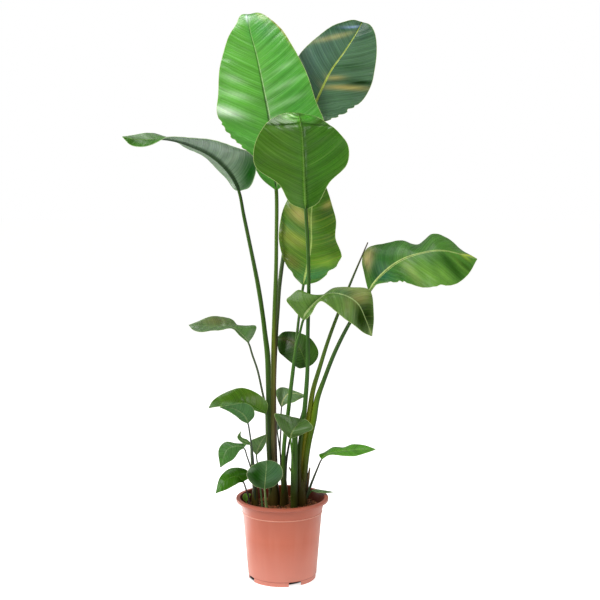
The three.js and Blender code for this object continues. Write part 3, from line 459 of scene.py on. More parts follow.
LEAVES["large_right"] = dict(
    size=BIG, wave=3, waves=4, base=(225, 10, 745), tip=(490, -45, 830),
    rib=[(260, 5, 790), (305, 0, 825), (360, -10, 845), (410, -20, 850)],
    left=[(215, 35, 785), (210, 50, 820), (225, 60, 850), (270, 70, 865), (310, 70, 870),
          (350, 65, 860), (390, 60, 890), (430, 45, 875), (460, 10, 850)],
    right=[(240, -15, 765), (290, -45, 775), (350, -70, 765), (420, -85, 770), (460, -75, 790)],
    upper="#47722e", under="#5d7f45", rib_line="#5a7a3c", keel="#8fa254", edge="#879e5c",
    streak=("#5f8a48", 0.5), shoulder=("#c4d488", 0.9, 0.9), ripple=(0.6, 0.6), gloss=0.4,
    # The dark marks from 0.72 on are painted shade in the folds near the tip.
    marks=[(0.21, -0.75, 0.055, 0.22, "#d8c48a", 1.0), (0.11, -0.8, 0.04, 0.4, "#4f6a30", 0.7),
           (0.3, -0.5, 0.1, 0.6, "#264f26", 0.65), (0.16, 0.2, 0.09, 0.8, "#245a40", 0.9),
           (0.52, -0.5, 0.1, 0.6, "#3f6a34", 0.6), (0.14, -0.25, 0.06, 0.35, "#28481c", 0.7),
           (0.36, -0.4, 0.05, 0.4, "#3f6a38", 0.5), (0.43, 0.55, 0.05, 0.5, "#88a05a", 0.7),
           (0.55, 0.7, 0.06, 0.5, "#6f9844", 0.8), (0.6, 0.4, 0.02, 0.4, "#2f5a1c", 0.6),
           (0.66, 0.75, 0.05, 0.3, "#6f9844", 0.7), (0.33, 0.85, 0.02, 0.2, "#2c5a24", 0.8),
           (0.72, 0.35, 0.04, 0.3, "#25461a", 0.9), (0.76, 0.7, 0.03, 0.35, "#2a4e18", 0.85),
           (0.82, 0.55, 0.03, 0.5, "#5c8030", 0.6), (0.86, 0.7, 0.03, 0.4, "#2a4e18", 0.7),
           (0.93, -0.5, 0.03, 0.6, "#b8c844", 0.9)],
    nicks=[(1, 0.22, 5, 0.02), (1, 0.3, 6, 0.02), (1, 0.34, 5, 0.015), (1, 0.62, 4, 0.03)],
)
LEAVES["bent_middle"] = dict(
    size=BIG, wave=1.5, waves=3, base=(55, -55, 680), tip=(225, -75, 640),
    rib=[(70, -60, 705), (95, -65, 730), (120, -60, 745), (160, -65, 740), (190, -70, 720),
         (210, -75, 680)],
    left=[(35, -50, 700), (15, -45, 725), (25, -45, 735), (45, -45, 750), (65, -50, 740),
          (90, -35, 730), (130, -20, 755), (180, -15, 755), (220, -25, 750), (230, -55, 690)],
    right=[(70, -70, 695), (95, -90, 730), (135, -105, 705), (175, -100, 675), (205, -85, 650)],
    upper="#567736", under="#4e7233", rib_line="#a0b479", keel="#304d1c", edge="#97a96d",
    streak=("#839153", 0.5), gloss=0.6,
    # The two near-black marks at 0.77 and 0.8 are painted shade below the bend.
    marks=[(0.52, -0.4, 0.12, 0.6, "#4c6c48", 0.7), (0.66, -0.3, 0.06, 0.4, "#a08c5c", 0.6),
           (0.8, -0.1, 0.12, 0.9, "#1a2e04", 1.0), (0.77, 0.45, 0.09, 0.5, "#1c3204", 1.0),
           (0.58, 0.4, 0.05, 0.4, "#74844c", 0.8), (0.66, -0.6, 0.06, 0.4, "#7a8450", 0.7),
           (0.98, 0.0, 0.06, 1.2, "#8ea05c", 0.9), (0.6, -0.8, 0.12, 0.3, "#8a9658", 0.6),
           (0.16, 0.0, 0.2, 0.12, "#22400f", 0.9)],
)
LEAVES["dark_middle"] = dict(
    size=SMALL, wave=1.5, waves=3, base=(63, 40, 544), tip=(-15, 76, 616),
    rib=[(54, 46, 573), (38, 56, 599), (14, 66, 613)],
    left=[(46, 44, 541), (25, 50, 555), (7, 56, 569), (-9, 66, 583)],
    right=[(76, 42, 550), (90, 45, 567), (92, 50, 584), (79, 58, 609), (62, 64, 623), (33, 70, 632),
           (1, 74, 631)],
    upper="#304e1c", under="#52733b", rib_line="#4a6a28", keel="#617e42", edge="#61773b",
    streak=("#4f6931", 0.4), ripple=(0.1, 0.1),
    marks=[(0.75, 0.0, 0.3, 0.25, "#61583b", 0.7), (0.3, 0.7, 0.3, 0.5, "#456723", 0.7)],
)
LEAVES["left_middle"] = dict(
    size=SMALL, wave=1.5, waves=3, base=(-86, -16, 616), tip=(-236, -28, 662),
    rib=[(-104, -18, 638), (-126, -20, 656), (-178, -20, 658)],
    left=[(-102, -24, 632), (-126, -42, 654), (-166, -52, 652), (-200, -50, 648), (-224, -40, 652)],
    right=[(-74, -4, 632), (-68, 6, 654), (-94, 14, 656), (-116, 12, 658), (-128, 12, 670),
           (-172, 2, 682), (-212, -12, 670)],
    upper="#59754a", under="#688359", rib_line="#899e70", keel="#98a57f", edge="#91a070",
    streak=("#849368", 0.5),
    marks=[(0.15, 0.0, 0.2, 1.0, "#58823f", 0.6), (0.65, 0.5, 0.2, 0.5, "#65683d", 0.8)],
)
LEAVES["low_left"] = dict(
    size=SMALL, wave=1, waves=2, base=(-42, -12, 432), tip=(-184, -62, 456),
    rib=[(-62, -20, 448), (-96, -34, 466), (-142, -50, 472)],
    left=[(-64, -34, 444), (-100, -56, 460), (-150, -68, 462)],
    right=[(-38, -8, 454), (-62, -8, 480), (-102, -14, 498), (-138, -26, 490), (-174, -50, 472)],
    upper="#446819", under="#668251", rib_line="#54772b", keel="#889c66", edge="#8ca25b",
    streak=("#5d7d2b", 0.5),
    marks=[(0.55, -0.75, 0.4, 0.3, "#54784a", 0.8), (0.95, 0.0, 0.12, 1.0, "#64805a", 0.8),
           (0.3, 0.5, 0.15, 0.4, "#5a7228", 0.6)],
)
LEAVES["low_left_under"] = dict(
    size=SMALL, wave=1, waves=2, base=(-86, -56, 416), tip=(-154, -84, 462),
    rib=[(-96, -62, 438), (-120, -72, 456)],
    left=[(-100, -62, 424), (-114, -72, 438), (-134, -80, 452)],
    right=[(-72, -52, 432), (-74, -58, 454), (-92, -68, 468), (-130, -80, 466)],
    upper="#406936", under="#4f723e", rib_line="#6d8b53", keel="#738e58", edge="#7f985f",
    streak=("#5d834b", 0.5),
)
LEAVES["low_centre"] = dict(
    size=SMALL, wave=1, waves=2, base=(-2, 38, 440), tip=(62, 44, 468),
    rib=[(4, 42, 460), (18, 44, 474)],
    left=[(-11, 50, 456), (-16, 59, 476), (-4, 58, 486), (28, 54, 480)],
    right=[(10, 38, 448), (30, 36, 454), (52, 38, 464)],
    upper="#6f8d5d", under="#768f63", rib_line="#c3cc92", keel="#a9b782", edge="#b7bf8e",
    streak=("#92a379", 0.5),
)
LEAVES["low_front"] = dict(
    size=SMALL, wave=1, waves=2, base=(22, -32, 372), tip=(50, -15, 417),
    rib=[(26, -42, 390), (37, -32, 404)],
    left=[(8, -40, 386), (-8, -50, 412), (-18, -52, 437), (2, -44, 436), (27, -32, 427),
          (42, -20, 421)],
    right=[(40, -38, 380), (58, -46, 390), (78, -50, 402), (68, -36, 415), (58, -22, 420)],
    upper="#476430", under="#38542c", rib_line="#7e925a", keel="#657b4c", edge="#a4b17a",
    streak=("#577042", 0.4),
)
LEAVES["grey_behind"] = dict(
    size=SMALL, wave=0.5, waves=1, base=(-14, 56, 374), tip=(-12, 64, 404),
    rib=[(-14, 60, 386)],
    left=[(-22, 58, 382), (-22, 62, 394)],
    right=[(-4, 58, 382), (-2, 62, 394)],
    upper="#66826d", under="#728d7a", rib_line="#96ac97", keel="#96ac97", edge="#a3b8a8",
    streak=("#829d8b", 0.4),
)
LEAVES["drooping_young"] = dict(
    size=SMALL, wave=1, waves=2, base=(-98, -30, 346), tip=(-156, -58, 302),
    rib=[(-118, -36, 352), (-140, -44, 344)],
    left=[(-108, -38, 342), (-124, -48, 322), (-142, -56, 312)],
    right=[(-92, -24, 352), (-118, -20, 354), (-144, -26, 360), (-160, -42, 344)],
    upper="#466e37", under="#617b52", rib_line="#678651", keel="#849567", edge="#8b9e6b",
    streak=("#5c8249", 0.4),
    marks=[(0.85, 0.0, 0.2, 1.0, "#4a7d2f", 0.6)],
)
LEAVES["rolled_young"] = dict(
    size=SMALL, wave=0.4, waves=1, base=(-82, -12, 352), tip=(-106, -20, 387),
    rib=[(-92, -16, 358), (-103, -20, 364), (-110, -21, 374)],
    left=[(-89, -20, 353), (-101, -25, 359), (-114, -26, 373)],
    right=[(-89, -11, 361), (-101, -14, 367), (-107, -17, 374)],
    upper="#51743e", under="#5f8050", rib_line="#7c9858", keel="#86a468", edge="#a4ba88",
    streak=("#6a8c50", 0.4),
)
LEAVES["twisted_young"] = dict(
    size=SMALL, wave=0.6, waves=1, base=(-66, -16, 326), tip=(-40, -14, 378),
    rib=[(-60, -18, 346), (-52, -18, 362)],
    left=[(-76, -16, 340), (-80, -18, 360), (-62, -18, 370)],
    right=[(-54, -14, 338), (-42, -14, 360)],
    upper="#516d3e", under="#647d4f", rib_line="#7c8f5c", keel="#899a66", edge="#a2ab7a",
    streak=("#738a55", 0.4),
)
LEAVES["bottom_left"] = dict(
    size=SMALL, wave=1, waves=2, base=(-100, -24, 256), tip=(-168, -60, 236),
    rib=[(-116, -30, 272), (-140, -44, 268)],
    left=[(-110, -38, 259), (-122, -48, 254), (-140, -56, 246)],
    right=[(-89, -17, 262), (-86, -11, 275), (-104, -8, 286), (-134, -16, 288), (-158, -38, 270)],
    upper="#386418", under="#597c3d", rib_line="#4a7523", keel="#7c9350", edge="#7c9b46",
    streak=("#4d7827", 0.45), gloss=0.6,
    marks=[(0.9, 0.0, 0.2, 1.0, "#4d872d", 0.7)],
)
LEAVES["round_front"] = dict(
    size=SMALL, wave=0.8, waves=2, base=(-44, -58, 248), tip=(-40, -48, 318),
    rib=[(-42, -66, 272), (-40, -62, 294)],
    left=[(-68, -56, 254), (-88, -56, 282), (-80, -52, 300), (-58, -46, 313)],
    right=[(-22, -56, 254), (0, -56, 280), (-4, -52, 304), (-24, -46, 316)],
    upper="#4a6b3f", under="#2c5019", rib_line="#889b64", keel="#88975b", edge="#adb28a",
    streak=("#406633", 0.35), ripple=(0.2, 0.2), rib_line_columns=1,
    # The bluish mark on the right half is painted sheen.
    marks=[(0.45, -0.5, 0.4, 0.5, "#1a3e0c", 1.0), (0.5, 0.55, 0.35, 0.5, "#3a6040", 0.7),
           (0.9, 0.0, 0.1, 1.2, "#2a5418", 0.7)],
)
LEAVES["low_right"] = dict(
    size=SMALL, wave=1.2, waves=2, base=(102, -4, 310), tip=(240, -28, 342),
    rib=[(120, -8, 326), (166, -16, 336)],
    left=[(96, 6, 318), (108, 18, 322), (132, 20, 336), (160, 14, 336), (182, 10, 346), (208, -4, 348)],
    right=[(122, -26, 326), (160, -44, 330), (188, -50, 330), (220, -42, 338)],
    upper="#508926", under="#668d43", rib_line="#78a643", keel="#84a454", edge="#93b85b",
    streak=("#6da23c", 0.5),
    marks=[(0.06, 0.0, 0.1, 1.0, "#3b6b19", 0.7)],
)
LEAVES["over_rim"] = dict(
    size=SMALL, wave=0.5, waves=1, base=(78, 26, 219), tip=(133, 20, 217),
    rib=[(98, 24, 219), (116, 22, 218)],
    left=[(90, 34, 220), (114, 31, 218)],
    right=[(90, 15, 218), (114, 13, 217)],
    upper="#4a6a36", under="#5a7a48", rib_line="#6c8850", keel="#78945c", edge="#86a068",
    streak=("#5a7c44", 0.4),
)
LEAVES["sprout"] = dict(
    size=SMALL, wave=0.4, waves=1, base=(-94, -4, 200), tip=(-82, -12, 221),
    rib=[(-95, -8, 212)],
    left=[(-101, -6, 208), (-98, -8, 219)],
    right=[(-89, -10, 206), (-84, -12, 215)],
    upper="#86bc46", under="#8ab858", rib_line="#93bb60", keel="#93b468", edge="#a9c878",
    streak=("#86b254", 0.4),
)


# ------------------------------------------------------------------ leaf stalks
# Each leaf stands on a smooth fleshy stalk that thickens into a sheath. The sheaths of one shoot
# wrap round each other at the soil, and turn brown and dry along their edges.

# In millimetres from the pot's axis: a stalk's `foot` [x, y, radius], its `path` from the leaf
# down as points with a radius each, and the radius `end` at its leaf, or at its own `tip`. `skin`
# gives its colour from the top down [height, left side, middle, right side], the left side paler
# as painted light and the right side darker as painted shade. `crown` is the sheath that wraps a
# shoot's stalks at the soil [x, y, radius].
SHOOTS = {}
SHOOTS["shoot_left"] = dict(crown=(-22, 24, 16), stalks=[
    dict(leaf="tall_left", end=4.4, foot=(-19, 24, 6.5),
         path=[(-15, 38, 876, 4.6), (-16, 37, 798, 4.8), (-20, 32, 682, 5.5), (-22, 30, 617, 5.9),
               (-23, 28, 552, 6.6), (-24, 27, 486, 6.4), (-24, 25, 328, 6)],
         skin=[(1005, "#4c6a20", "#3f5e14", "#2c440c"), (700, "#4c6c20", "#3f5e16", "#34400e"),
               (600, "#66801f", "#66741c", "#523818"), (440, "#7c8632", "#7e7e38", "#664430"),
               (330, "#7a7a40", "#888058", "#664832"), (230, "#4c4a1e", "#524218", "#3a280e")]),
    dict(leaf="tall_right", end=4.4, foot=(-17, 31, 6.5),
         path=[(18, 96, 940, 4.6), (-3, 80, 795, 5), (-9, 72, 743, 5), (-12, 64, 692, 5),
               (-16, 54, 640, 5.2), (-20, 45, 560, 5.4), (-22, 38, 460, 5.6)],
         skin=[(1070, "#4d6b3d", "#3f5c33", "#2c4424"), (640, "#546a38", "#4a5c30", "#3a3a24"),
               (430, "#7a7244", "#7a6a48", "#5c4230"), (230, "#4a3e1c", "#4c3a16", "#34240c")]),
    dict(leaf="hanging_left", end=3.8, foot=(-27, 22, 6.5),
         path=[(-98, 20, 940, 4.2), (-62, 16, 761, 5.2), (-50, 16, 683, 5.5), (-44, 15, 632, 6),
               (-38, 14, 580, 6.6), (-36, 14, 488, 6.2), (-35, 16, 330, 6)],
         skin=[(1000, "#3e5c20", "#2c4a14", "#1c300c"), (640, "#466a1e", "#345612", "#2c460c"),
               (330, "#4c6c26", "#34521a", "#2c400e"), (230, "#3c4a10", "#2c360a", "#20240a")]),
    dict(leaf="left_middle", end=2.2, foot=(-30, 20, 3),
         path=[(-76, -12, 584, 2.4), (-63, -8, 544, 2.6), (-52, -4, 492, 2.7), (-42, 0, 439, 2.7),
               (-40, 6, 370, 2.9)],
         skin=[(616, "#56664a", "#46543a", "#333f2a"), (370, "#4b5a3c", "#3c4830", "#2c3422")]),
    dict(leaf="low_left", end=2.4, foot=(-29, 18, 3.5),
         path=[(-39, -6, 401, 2.8), (-38, 0, 360, 3.2), (-34, 10, 278, 3.5)],
         skin=[(432, "#567840", "#48682f", "#344c22"), (250, "#4c5a30", "#40481f", "#2e3018")]),
])
SHOOTS["shoot_middle"] = dict(crown=(5, 11, 11), stalks=[
    dict(leaf="hanging_centre", end=3.2, foot=(4, 13, 5),
         path=[(44, 34, 682, 3.3), (34, 20, 592, 3.6), (27, 6, 530, 4.6), (16, 8, 438, 4.6),
               (5, 11, 345, 5)],
         skin=[(760, "#4e6c34", "#3c5c26", "#2a441c"), (345, "#4a6e24", "#365c1a", "#2a420f"),
               (230, "#3a4412", "#2c320c", "#1e2008")]),
    dict(leaf="bent_middle", end=2.8, foot=(4, 8, 5.5),
         path=[(46, -48, 646, 3), (38, -38, 614, 3.9), (31, -22, 568, 4.2), (23, -8, 500, 4.8),
               (14, 2, 419, 4.8), (4, 6, 332, 5.2)],
         skin=[(680, "#467020", "#2c5414", "#1e3e0c"), (345, "#52782a", "#3a641c", "#264a0e"),
               (230, "#4e5a22", "#3a4c12", "#242e0a")]),
    dict(leaf="dark_middle", end=2, foot=(7, 13, 3),
         path=[(62, 26, 487, 2.2), (57, 24, 448, 2.3), (48, 20, 414, 2.4), (34, 18, 384, 2.5),
               (21, 16, 360, 2.5), (15, 14, 331, 2.6), (10, 13, 297, 3)],
         skin=[(544, "#4a6036", "#38502a", "#2a3c20"), (297, "#3c4428", "#30381f", "#252a18")]),
    dict(leaf="low_centre", end=1.6, foot=(2, 14, 2.6),
         path=[(-4, 32, 380, 1.8), (-6, 28, 340, 1.9), (-4, 20, 290, 2.2)],
         skin=[(440, "#5c5c4c", "#494a3c", "#35362c"), (290, "#4c4c3a", "#3c3c2c", "#2c2c20")]),
    dict(leaf="grey_behind", end=1.6, foot=(3, 17, 2.6),
         path=[(-12, 50, 358, 1.7), (-8, 40, 332, 1.8), (-4, 30, 306, 2)],
         skin=[(374, "#5a6654", "#485442", "#343d30"), (306, "#454a38", "#383c2c", "#282a20")]),
])
SHOOTS["shoot_front"] = dict(stalks=[
    dict(tip=(33, -12, 398), end=5, foot=(31, -15, 8.6),
         path=[(33, -13, 376, 6.8), (32, -14, 330, 7.8), (31, -15, 270, 8.4)],
         skin=[(398, "#4c7a24", "#345c12", "#26440c"), (280, "#406a1c", "#30520e", "#243c0a"),
               (220, "#3c4812", "#30380c", "#24240a")]),
    dict(leaf="low_front", end=2, foot=(31, -18, 3),
         path=[(24, -30, 348, 2.2), (27, -25, 314, 2.6), (30, -20, 268, 3)],
         skin=[(372, "#5c8436", "#3f661c", "#2f4c16"), (268, "#4a7024", "#3a5c16", "#2c4412")]),
])
SHOOTS["shoot_right"] = dict(crown=(50, 12, 15), stalks=[
    dict(leaf="centre_front", end=4, foot=(44, 10, 7),
         path=[(66, -50, 854, 4.2), (68, -38, 752, 4.4), (66, -24, 650, 4.6), (65, -10, 544, 4.9),
               (61, -1, 478, 5.4), (55, 2, 412, 5.8), (46, 5, 340, 6.2), (43, 7, 280, 6.8)],
         skin=[(955, "#406420", "#2c4e12", "#1e3a0c"), (520, "#44702a", "#305818", "#224010"),
               (412, "#3a6418", "#2c500c", "#3c5008"), (300, "#2e4c0c", "#33420a", "#464008"),
               (225, "#2c2c08", "#342808", "#2c1e06")]),
    dict(leaf="large_right", end=3.4, foot=(54, 12, 7.6),
         path=[(174, 10, 664, 4.4), (136, 10, 588, 4.8), (108, 12, 515, 5.4), (90, 12, 463, 6.8),
               (81, 12, 410, 7.5), (67, 12, 345, 7.6), (57, 12, 264, 7.6)],
         skin=[(745, "#5a7c34", "#365a24", "#24421e"), (520, "#50722a", "#2c4e1a", "#1e3c10"),
               (440, "#788e1c", "#527410", "#2c5008"), (340, "#687c12", "#4c660a", "#364a08"),
               (225, "#50440e", "#443a0a", "#2c2608")]),
    dict(tip=(220, 22, 870), end=1.4, foot=(49, 13, 7),
         path=[(172, 20, 756, 3), (124, 20, 632, 4.4), (95, 18, 540, 5.3), (80, 18, 488, 5.8),
               (68, 16, 412, 6.4), (58, 15, 345, 6.4), (51, 14, 264, 6.8)],
         skin=[(870, "#5c5041", "#453c29", "#342e1d"), (760, "#45602a", "#35501e", "#263e16"),
               (520, "#6e8a34", "#527022", "#385418"), (430, "#7c8a18", "#86921c", "#5e700c"),
               (300, "#857a20", "#7a7414", "#52540c"), (225, "#624a14", "#54400e", "#34280a")]),
    dict(leaf="low_right", end=1.8, foot=(58, 10, 3),
         path=[(92, -4, 288, 2.2), (82, 0, 262, 2.6), (74, 4, 240, 3)],
         skin=[(310, "#4c4a40", "#3c3a34", "#2c2a26"), (240, "#42503a", "#34422c", "#262e20")]),
    dict(leaf="over_rim", end=2, foot=(57, 16, 3), path=[(70, 24, 212, 2.4)],
         skin=[(228, "#5a7a40", "#4a6834", "#36502a")]),
    dict(tip=(17, 19, 284), end=1.4, foot=(44, 15, 5), path=[(30, 17, 262, 4)],
         skin=[(284, "#a08a68", "#8a7048", "#6a5436"), (225, "#7a5c38", "#5c4428", "#40301c")]),
    dict(tip=(72, 15, 284), end=1.4, foot=(58, 15, 5), path=[(67, 15, 256, 4)],
         skin=[(284, "#96805c", "#7c6440", "#5f4a30"), (225, "#6e5434", "#543c24", "#3a2a1a")]),
])
SHOOTS["shoot_young"] = dict(crown=(-71, -1, 9), stalks=[
    dict(leaf="rolled_young", end=2.6, foot=(-70, 0, 5.5),
         path=[(-78, -8, 322, 4), (-76, -6, 288, 4.8), (-72, -2, 242, 5.4)],
         skin=[(352, "#6c8a54", "#5a7c40", "#40602e"), (225, "#4a5c30", "#3f5428", "#2c3c1c")]),
    dict(leaf="low_left_under", end=1.8, foot=(-70, -4, 3),
         path=[(-82, -50, 392, 1.9), (-78, -40, 356, 2.1), (-74, -24, 300, 2.4), (-72, -12, 244, 2.8)],
         skin=[(416, "#4c5a48", "#36423a", "#28302a"), (244, "#3c4634", "#2f382a", "#242a1f")]),
    dict(leaf="drooping_young", end=1.6, foot=(-72, 0, 2.6),
         path=[(-90, -24, 322, 1.7), (-82, -20, 296, 1.9), (-76, -10, 252, 2.2)],
         skin=[(346, "#4c5248", "#3a4038", "#2a2e28"), (240, "#3f4436", "#30352a", "#24271f")]),
])
SHOOTS["stalk_twisted_young"] = dict(stalks=[
    dict(leaf="twisted_young", end=1.6, foot=(-52, -4, 2.4),
         path=[(-64, -12, 302, 1.8), (-58, -6, 250, 2.1)],
         skin=[(326, "#5c7a4a", "#4c6a3c", "#36502c")]),
])
SHOOTS["stalk_bottom_left"] = dict(stalks=[
    dict(leaf="bottom_left", end=1.8, foot=(-84, -15, 2.4),
         path=[(-94, -20, 238, 2), (-88, -16, 218, 2.2)],
         skin=[(256, "#5a5048", "#463e36", "#332d28")]),
])
SHOOTS["stalk_round_front"] = dict(stalks=[
    dict(leaf="round_front", end=2, foot=(-40, -34, 3.2), path=[(-43, -50, 234, 2.4)],
         skin=[(248, "#aab888", "#7c9458", "#52703a")]),
])
SHOOTS["stalk_sprout"] = dict(stalks=[
    dict(leaf="sprout", end=1.4, foot=(-91, -1, 1.8), path=[(-93, -3, 192, 1.6)],
         skin=[(200, "#86ac5c", "#6f9a4a", "#527a34")]),
])

FLESH_SIDES = 22
FLESH_STEP = 7  # millimetres between two rings of a stalk
FEWEST_STEPS = 14
CURVE_STEPS = 960
STALK_START = MIX_TOP + 4
BURIED = 26  # how far a stalk goes on below its start
INTO_LEAF = 3.5
LEAF_END_SHARE = 0.72
GIRTH = 1.08  # makes up for the channel and for the flats between the sides
CHANNEL_DEPTH, CHANNEL_SPREAD, CHANNEL_SHIFT = 0.1, 0.35, 0.5
LUMP_HEIGHT, LUMP_LENGTHS = 0.02, (24, 40)
DAMP_TOP, DAMP_DEPTH, DAMP_STRENGTH = MIX_TOP + 12, 20, 0.5
# The side colours are painted light on the left and painted shade on the right.
SIDE_FALL = 1.6  # how soon the side colours give way to the middle one
PALER = (1.5, 1.45, 1.1, 1)  # a streak's colour against the stalk's own
AROUND_SCALE = 6  # millimetres of the fibre map for each radian round a stalk
WELD = 0.00002
CROWN_TOP, CROWN_END = 74, 0.3  # height above the mix, and share of the crown's radius
CROWN_RINGS = [(70, 0.5), (52, 0.66), (35, 0.8), (22, 0.91)]
CROWN_FOOT = 8
CROWN_SEED = 90


def spline(points, at):
    """Places on the smooth centripetal curve through the points, at shares counted in points."""
    p = np.array([q[:3] for q in points], float)
    p = np.vstack([2 * p[0] - p[1], p, 2 * p[-1] - p[-2]])
    at = np.clip(np.asarray(at, float), 0, len(p) - 3 - 1e-9)
    i = at.astype(int)
    w = (at - i)[:, None]
    a, b, c, d = p[i], p[i + 1], p[i + 2], p[i + 3]
    near = np.maximum(np.linalg.norm(b - c, axis=1) ** 0.5, 1e-4)[:, None]
    before = np.maximum(np.linalg.norm(a - b, axis=1) ** 0.5, 1e-4)[:, None]
    after = np.maximum(np.linalg.norm(c - d, axis=1) ** 0.5, 1e-4)[:, None]
    start = ((b - a) / before - (c - a) / (before + near) + (c - b) / near) * near
    end = ((c - b) / near - (d - b) / (near + after) + (d - c) / after) * near
    return (b + start * w + (3 * (c - b) - 2 * start - end) * w ** 2
            + (2 * (b - c) + start + end) * w ** 3)


def evenly(points, count, first=0, last=None):
    """Evenly spaced places along that curve between two of its points, and how far along each is."""
    last = len(points) - 1 if last is None else last
    fine = spline(points, np.linspace(first, last, CURVE_STEPS))
    run = np.append(0, np.cumsum(np.linalg.norm(np.diff(fine, axis=0), axis=1)))
    wanted = np.linspace(0, run[-1], count + 1)
    return np.stack([np.interp(wanted, run, fine[:, k]) for k in range(3)], 1), wanted


def unit(rows):
    return rows / np.maximum(np.linalg.norm(rows, axis=-1, keepdims=True), 1e-9)


def blend(low, high, share):
    """Between two colours by a share from 0 to 1, the second one as a hex or in linear values."""
    high = np.array(linear(high)) if isinstance(high, str) else high
    share = np.clip(share, 0, 1)[..., None]
    return low * (1 - share) + high * share


def woven_grid(name, points, run):
    """A grid with its points moved to their places in millimetres from the pot's axis, and a map
    in metres that follows the fibres."""
    bpy.ops.object.select_all(action="DESELECT")
    rows, columns = points.shape[:2]
    bpy.ops.mesh.primitive_grid_add(x_subdivisions=columns - 1, y_subdivisions=rows - 1, size=1)
    piece = bpy.context.object
    piece.name = piece.data.name = name
    places = points.reshape(-1, 3) * MM + np.array(POT_AXIS)
    piece.data.vertices.foreach_set("co", places.ravel())
    corners = np.zeros(len(piece.data.loops), int)
    piece.data.loops.foreach_get("vertex_index", corners)
    piece.data.uv_layers[0].name = "fibre_run"
    piece.data.uv_layers[0].data.foreach_set("uv", (run.reshape(-1, 2) * MM)[corners].ravel())
    return piece


def paint(piece, **layers):
    """Colours a piece point by point, in layers that its material reads by name."""
    for key, colours in layers.items():
        layer = piece.data.color_attributes.new(key, "FLOAT_COLOR", "POINT")
        layer.data.foreach_set("color", colours.ravel())
    piece.data.update()


def stalk_part(stalk, seed):
    """One stalk: a tube with a shallow channel up its front, from below the mix into its leaf."""
    x, y, radius = stalk["foot"]
    top = LEAVES[stalk["leaf"]]["base"] if "leaf" in stalk else stalk["tip"]
    course = [(x, y, STALK_START, radius), *stalk["path"][::-1], (*top, stalk["end"])]
    line = [p[:3] for p in course]
    if "leaf" in stalk:
        line.append(LEAVES[stalk["leaf"]]["rib"][0])
    gaps = [math.dist(a[:3], b[:3]) for a, b in zip(course, course[1:])]
    steps = max(FEWEST_STEPS, round(sum(gaps) / FLESH_STEP))
    middle, run = evenly(line, steps, 0, len(course) - 1)
    knots = np.append(0, np.cumsum(gaps))
    radius = np.interp(run / run[-1] * knots[-1], knots, [p[3] for p in course])
    heading = unit(np.gradient(middle, axis=0))
    if "leaf" in stalk:
        ahead = unit(np.array(line[-1], float) - np.array(stalk["path"][0][:3], float))
        heading[-1] = ahead
        middle = np.vstack([middle, middle[-1] + ahead * INTO_LEAF])
        heading = np.vstack([heading, ahead])
        radius = np.append(radius, radius[-1] * LEAF_END_SHARE)
        run = np.append(run, run[-1] + INTO_LEAF)
    middle = np.vstack([middle[0] - [0, 0, BURIED], middle])
    heading = np.vstack([[0, 0, 1], heading])
    radius, run = np.append(radius[0], radius), np.append(-BURIED, run)
    side = [np.array([1.0, 0, 0])]
    for ahead in heading:
        side.append(unit(side[-1] - ahead * np.dot(side[-1], ahead)))
    side = np.array(side[1:])
    front = np.cross(heading, side)
    turn = np.linspace(0, 2 * math.pi, FLESH_SIDES + 1)
    rng = np.random.default_rng(seed)
    off_front = turn[None] - 1.5 * math.pi + rng.uniform(-CHANNEL_SHIFT, CHANNEL_SHIFT)
    channel = CHANNEL_DEPTH * np.exp(-(off_front / CHANNEL_SPREAD) ** 2)
    lumps = LUMP_HEIGHT * np.sin(run[:, None] / rng.uniform(*LUMP_LENGTHS) + 2 * turn[None])
    girth = GIRTH * radius[:, None] * (1 - channel + lumps)
    out = side[:, None] * np.cos(turn)[None, :, None] + front[:, None] * np.sin(turn)[None, :, None]
    points = middle[:, None] + out * girth[..., None]

    skin = stalk["skin"][::-1]
    heights = [row[0] for row in skin]
    shades = [np.stack([np.interp(points[..., 2], heights, [linear(row[k])[c] for row in skin])
                        for c in range(4)], -1) for k in (1, 2, 3)]
    # Painted light and shade: the side facing left takes the skin's lit colour, the side facing right
    # its shaded one.
    facing = out[..., 0]
    tint = blend(shades[1], shades[0], np.clip(-facing, 0, 1) ** SIDE_FALL)
    tint = blend(tint, shades[2], np.clip(facing, 0, 1) ** SIDE_FALL)
    damp = np.clip((DAMP_TOP - points[..., 2]) / DAMP_DEPTH, 0, 1) * DAMP_STRENGTH
    tint = blend(tint, "#2c1c10", damp)
    mapped = np.stack([np.broadcast_to(turn * AROUND_SCALE, girth.shape),
                       np.broadcast_to(run[:, None], girth.shape)], -1)
    piece = woven_grid("stalk", points, mapped)
    paint(piece, tint=tint, streak=np.clip(tint * PALER, 0, 1))
    bpy.ops.object.mode_set(mode="EDIT")
    bpy.ops.mesh.select_all(action="SELECT")
    bpy.ops.mesh.remove_doubles(threshold=WELD)
    bpy.ops.mesh.fill_holes(sides=0)
    bpy.ops.mesh.normals_make_consistent(inside=False)
    bpy.ops.object.mode_set(mode="OBJECT")
    return piece


def join(name, parts):
    """Joins the parts of one shoot into one piece."""
    bpy.ops.object.select_all(action="DESELECT")
    for part in parts:
        part.select_set(True)
    bpy.context.view_layer.objects.active = parts[0]
    bpy.ops.object.join()
    parts[0].name = parts[0].data.name = name
    return parts[0]


